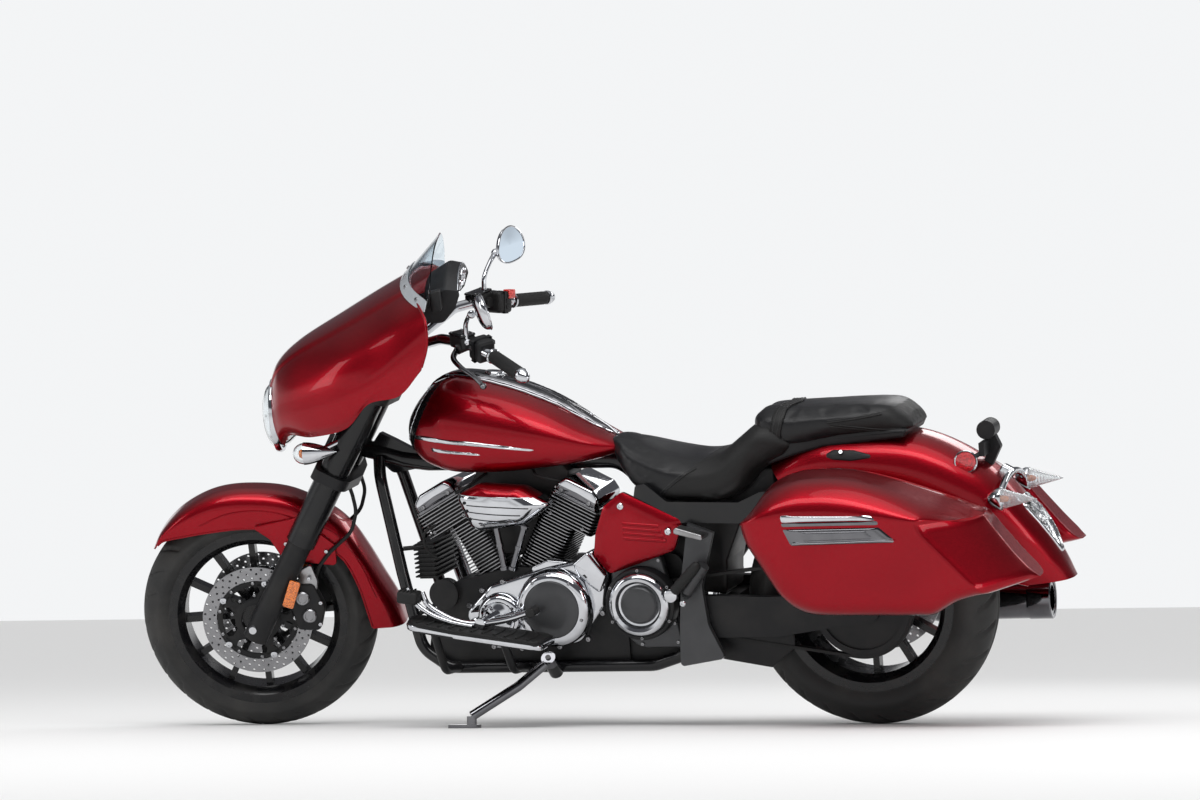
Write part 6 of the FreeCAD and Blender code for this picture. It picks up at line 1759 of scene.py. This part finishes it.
class CRUISER_OT_seats(bpy.types.Operator):
    """Padded rider's seat and pillion with seams, stitching and the grab strap"""
    bl_idname = "cruiser.seats"
    bl_label = "Seats"

    def execute(self, context):
        shell = grid(loft(SADDLE, SEAT_SECTION, 130, 130), around=True, capped=True)
        skin = cushion("rider_cushion", shell, "rider_seat", 9.0,
                       lambda p: p[:, 2] - 617 < (p[:, 0] - 1198) * 0.86)
        seams = stitched(skin, [(1203, 628), (1240, 658), (1278, 685), (1308, 701)])
        piece("rider_seams", seams, "chassis")
        shell = grid(loft(PILLION, SEAT_SECTION, 130, 120), around=True, capped=True)
        skin = cushion("pillion_cushion", shell, "passenger_seat", 7.0,
                       lambda p: (p[:, 2] < 804 + (p[:, 0] - 1666) * 0.2) & (p[:, 0] > 1666))
        seams = stitched(skin, [(1658, 806), (1746, 815), (1800, 823)], 5.0)
        seams += stitched(skin, [(1666, 802), (1736, 792), (1796, 784), (1846, 783)], -5.0)
        piece("pillion_seams", seams + strap(skin), "chassis")
        # Black pan under the seats, reaching below them over the fender: partly their base, partly painted shade of the
        # seats.
        pan_and_shade = slab([(1446, 744), (1490, 700, 8), (1560, 722), (1640, 742), (1760, 752), (1850, 760, 8), (1862, 782, 6),
                    (1500, 800, 10), (1450, 774, 6)], -110, 110, 8)
        piece("seat_pan_and_shade", [(pan_and_shade, "black_plastic")], "chassis")
        return {"FINISHED"}


class CRUISER_OT_wheels(bpy.types.Operator):
    """Grooved tyres, drilled discs and their carriers"""
    bl_idname = "cruiser.wheels"
    bl_label = "Wheels"

    def execute(self, context):
        front = [(47, 229), (50, 238), (60, 254), (65, 270), (60, 281), (50, 297), (36, 309), (18, 317.3), (0, 320)]
        rear = [(76, 216), (80, 228), (91, 248), (95, 266), (88, 281), (75, 297), (52, 316), (26, 326.4), (0, 330)]
        piece("front_tyre_tread", [(tyre(FRONT_AXLE, front, 26, 5.5), "tyre_rubber")], "front_wheel",
              ["front_tyre"])
        piece("rear_tyre_tread", [(tyre(REAR_AXLE, rear, 26, 6.0), "tyre_rubber")], "rear_wheel",
              ["rear_tyre"])
        parts = []
        for y in (-66, 66):
            parts.append((drilled(FRONT_AXLE, y, 111, 149, 5, 3, 32, 3.2), "brushed"))
            parts += carrier(FRONT_AXLE, y, 106, 5)
        piece("front_brake_discs", parts, "front_wheel", ["front_discs"])
        parts = [(drilled(REAR_AXLE, 105, 112, 155, 6, 3, 32, 3.4), "brushed")] + carrier(REAR_AXLE, 105, 107, 5)
        piece("rear_brake_disc", parts, "rear_wheel", ["rear_disc"])
        return {"FINISHED"}


class CRUISER_OT_engine(bpy.types.Operator):
    """Finned cylinders, rocker, air and case covers, pushrods, leads and the side covers"""
    bl_idname = "cruiser.engine"
    bl_label = "Engine"

    def execute(self, context):
        piece("finned_cylinders", cylinder(-1) + cylinder(1), "chassis", ["engine_cylinders"])
        piece("rocker_boxes", rocker(-1) + rocker(1), "chassis", ["rocker_covers"])
        piece("air_covers", air_cover(), "chassis", ["engine_v_covers"])
        piece("crank_covers", crank_covers(), "chassis", ["engine_side_covers"])
        piece("pushrods_and_leads", engine_trim(), "chassis")
        piece("side_cover_plates", side_cover(), "chassis", ["side_panels"])
        return {"FINISHED"}


class CRUISER_OT_tail(bpy.types.Operator):
    """Tail lamp, indicators on their arm, latch recesses and the side reflector"""
    bl_idname = "cruiser.tail"
    bl_label = "Tail"

    def execute(self, context):
        points = tail_skin()
        piece("tail_lamp_unit", tail_lamp_parts(points), "chassis", ["tail_lamp"])
        piece("tail_indicator_lamps", tail_indicators(), "chassis", ["rear_indicators"])
        piece("latch_recesses", latch(points), "chassis")
        piece("side_reflector", side_reflector(), "chassis")
        return {"FINISHED"}


class CRUISER_OT_controls(bpy.types.Operator):
    """Grips, switches, levers, mirrors and dials"""
    bl_idname = "cruiser.controls"
    bl_label = "Bars and controls"

    def execute(self, context):
        piece("bar_grips", grip(-1) + grip(1), "steering", ["grips"])
        piece("hand_controls", controls(-1) + controls(1), "steering", ["bar_controls"])
        piece("teardrop_mirrors", mirrors(), "steering", ["mirrors"])
        piece("dash_unit", dash(), "steering", ["instrument_hood"])
        return {"FINISHED"}


class CRUISER_OT_chassis(bpy.types.Operator):
    """Calipers, fork trim, footboards, pedals, pegs and the muffler's end"""
    bl_idname = "cruiser.chassis"
    bl_label = "Feet and fork"

    def execute(self, context):
        piece("brake_calipers", calipers(), "steering", ["front_calipers"])
        piece("fork_trim", fork_details(guard_skin()), "steering")
        piece("footboard_mats", board(-1) + board(1), "chassis")
        piece("foot_levers", pedals(), "chassis", ["foot_controls"])
        piece("peg_trim", pegs(), "chassis")
        piece("muffler_trim", muffler_end(), "chassis")
        return {"FINISHED"}


OPERATORS = [CRUISER_OT_stage, CRUISER_OT_dress, CRUISER_OT_fairing, CRUISER_OT_tank, CRUISER_OT_fenders,
             CRUISER_OT_bags, CRUISER_OT_seats, CRUISER_OT_wheels, CRUISER_OT_engine, CRUISER_OT_tail,
             CRUISER_OT_controls, CRUISER_OT_chassis]


class CRUISER_PT_panel(bpy.types.Panel):
    """Settings and pieces of the cruiser"""
    bl_idname = "CRUISER_PT_panel"
    bl_label = "Touring cruiser"
    bl_space_type = "VIEW_3D"
    bl_region_type = "UI"
    bl_category = "Cruiser"

    def draw(self, context):
        for name in CruiserSettings.__annotations__:
            self.layout.prop(context.scene.cruiser, name)
        for kind in OPERATORS:
            self.layout.operator(kind.bl_idname)


CLASSES = [CruiserSettings, *OPERATORS, CRUISER_PT_panel]


def register():
    """Add the settings, the operators and the panel."""
    for kind in CLASSES:
        bpy.utils.register_class(kind)
    bpy.types.Scene.cruiser = bpy.props.PointerProperty(type=CruiserSettings)


def unregister():
    """Take them away again."""
    del bpy.types.Scene.cruiser
    for kind in reversed(CLASSES):
        bpy.utils.unregister_class(kind)


def main():
    """Make every piece."""
    register()
    for kind in OPERATORS:
        group, name = kind.bl_idname.split(".")
        getattr(getattr(bpy.ops, group), name)()


if __name__ == "__main__":
    main()
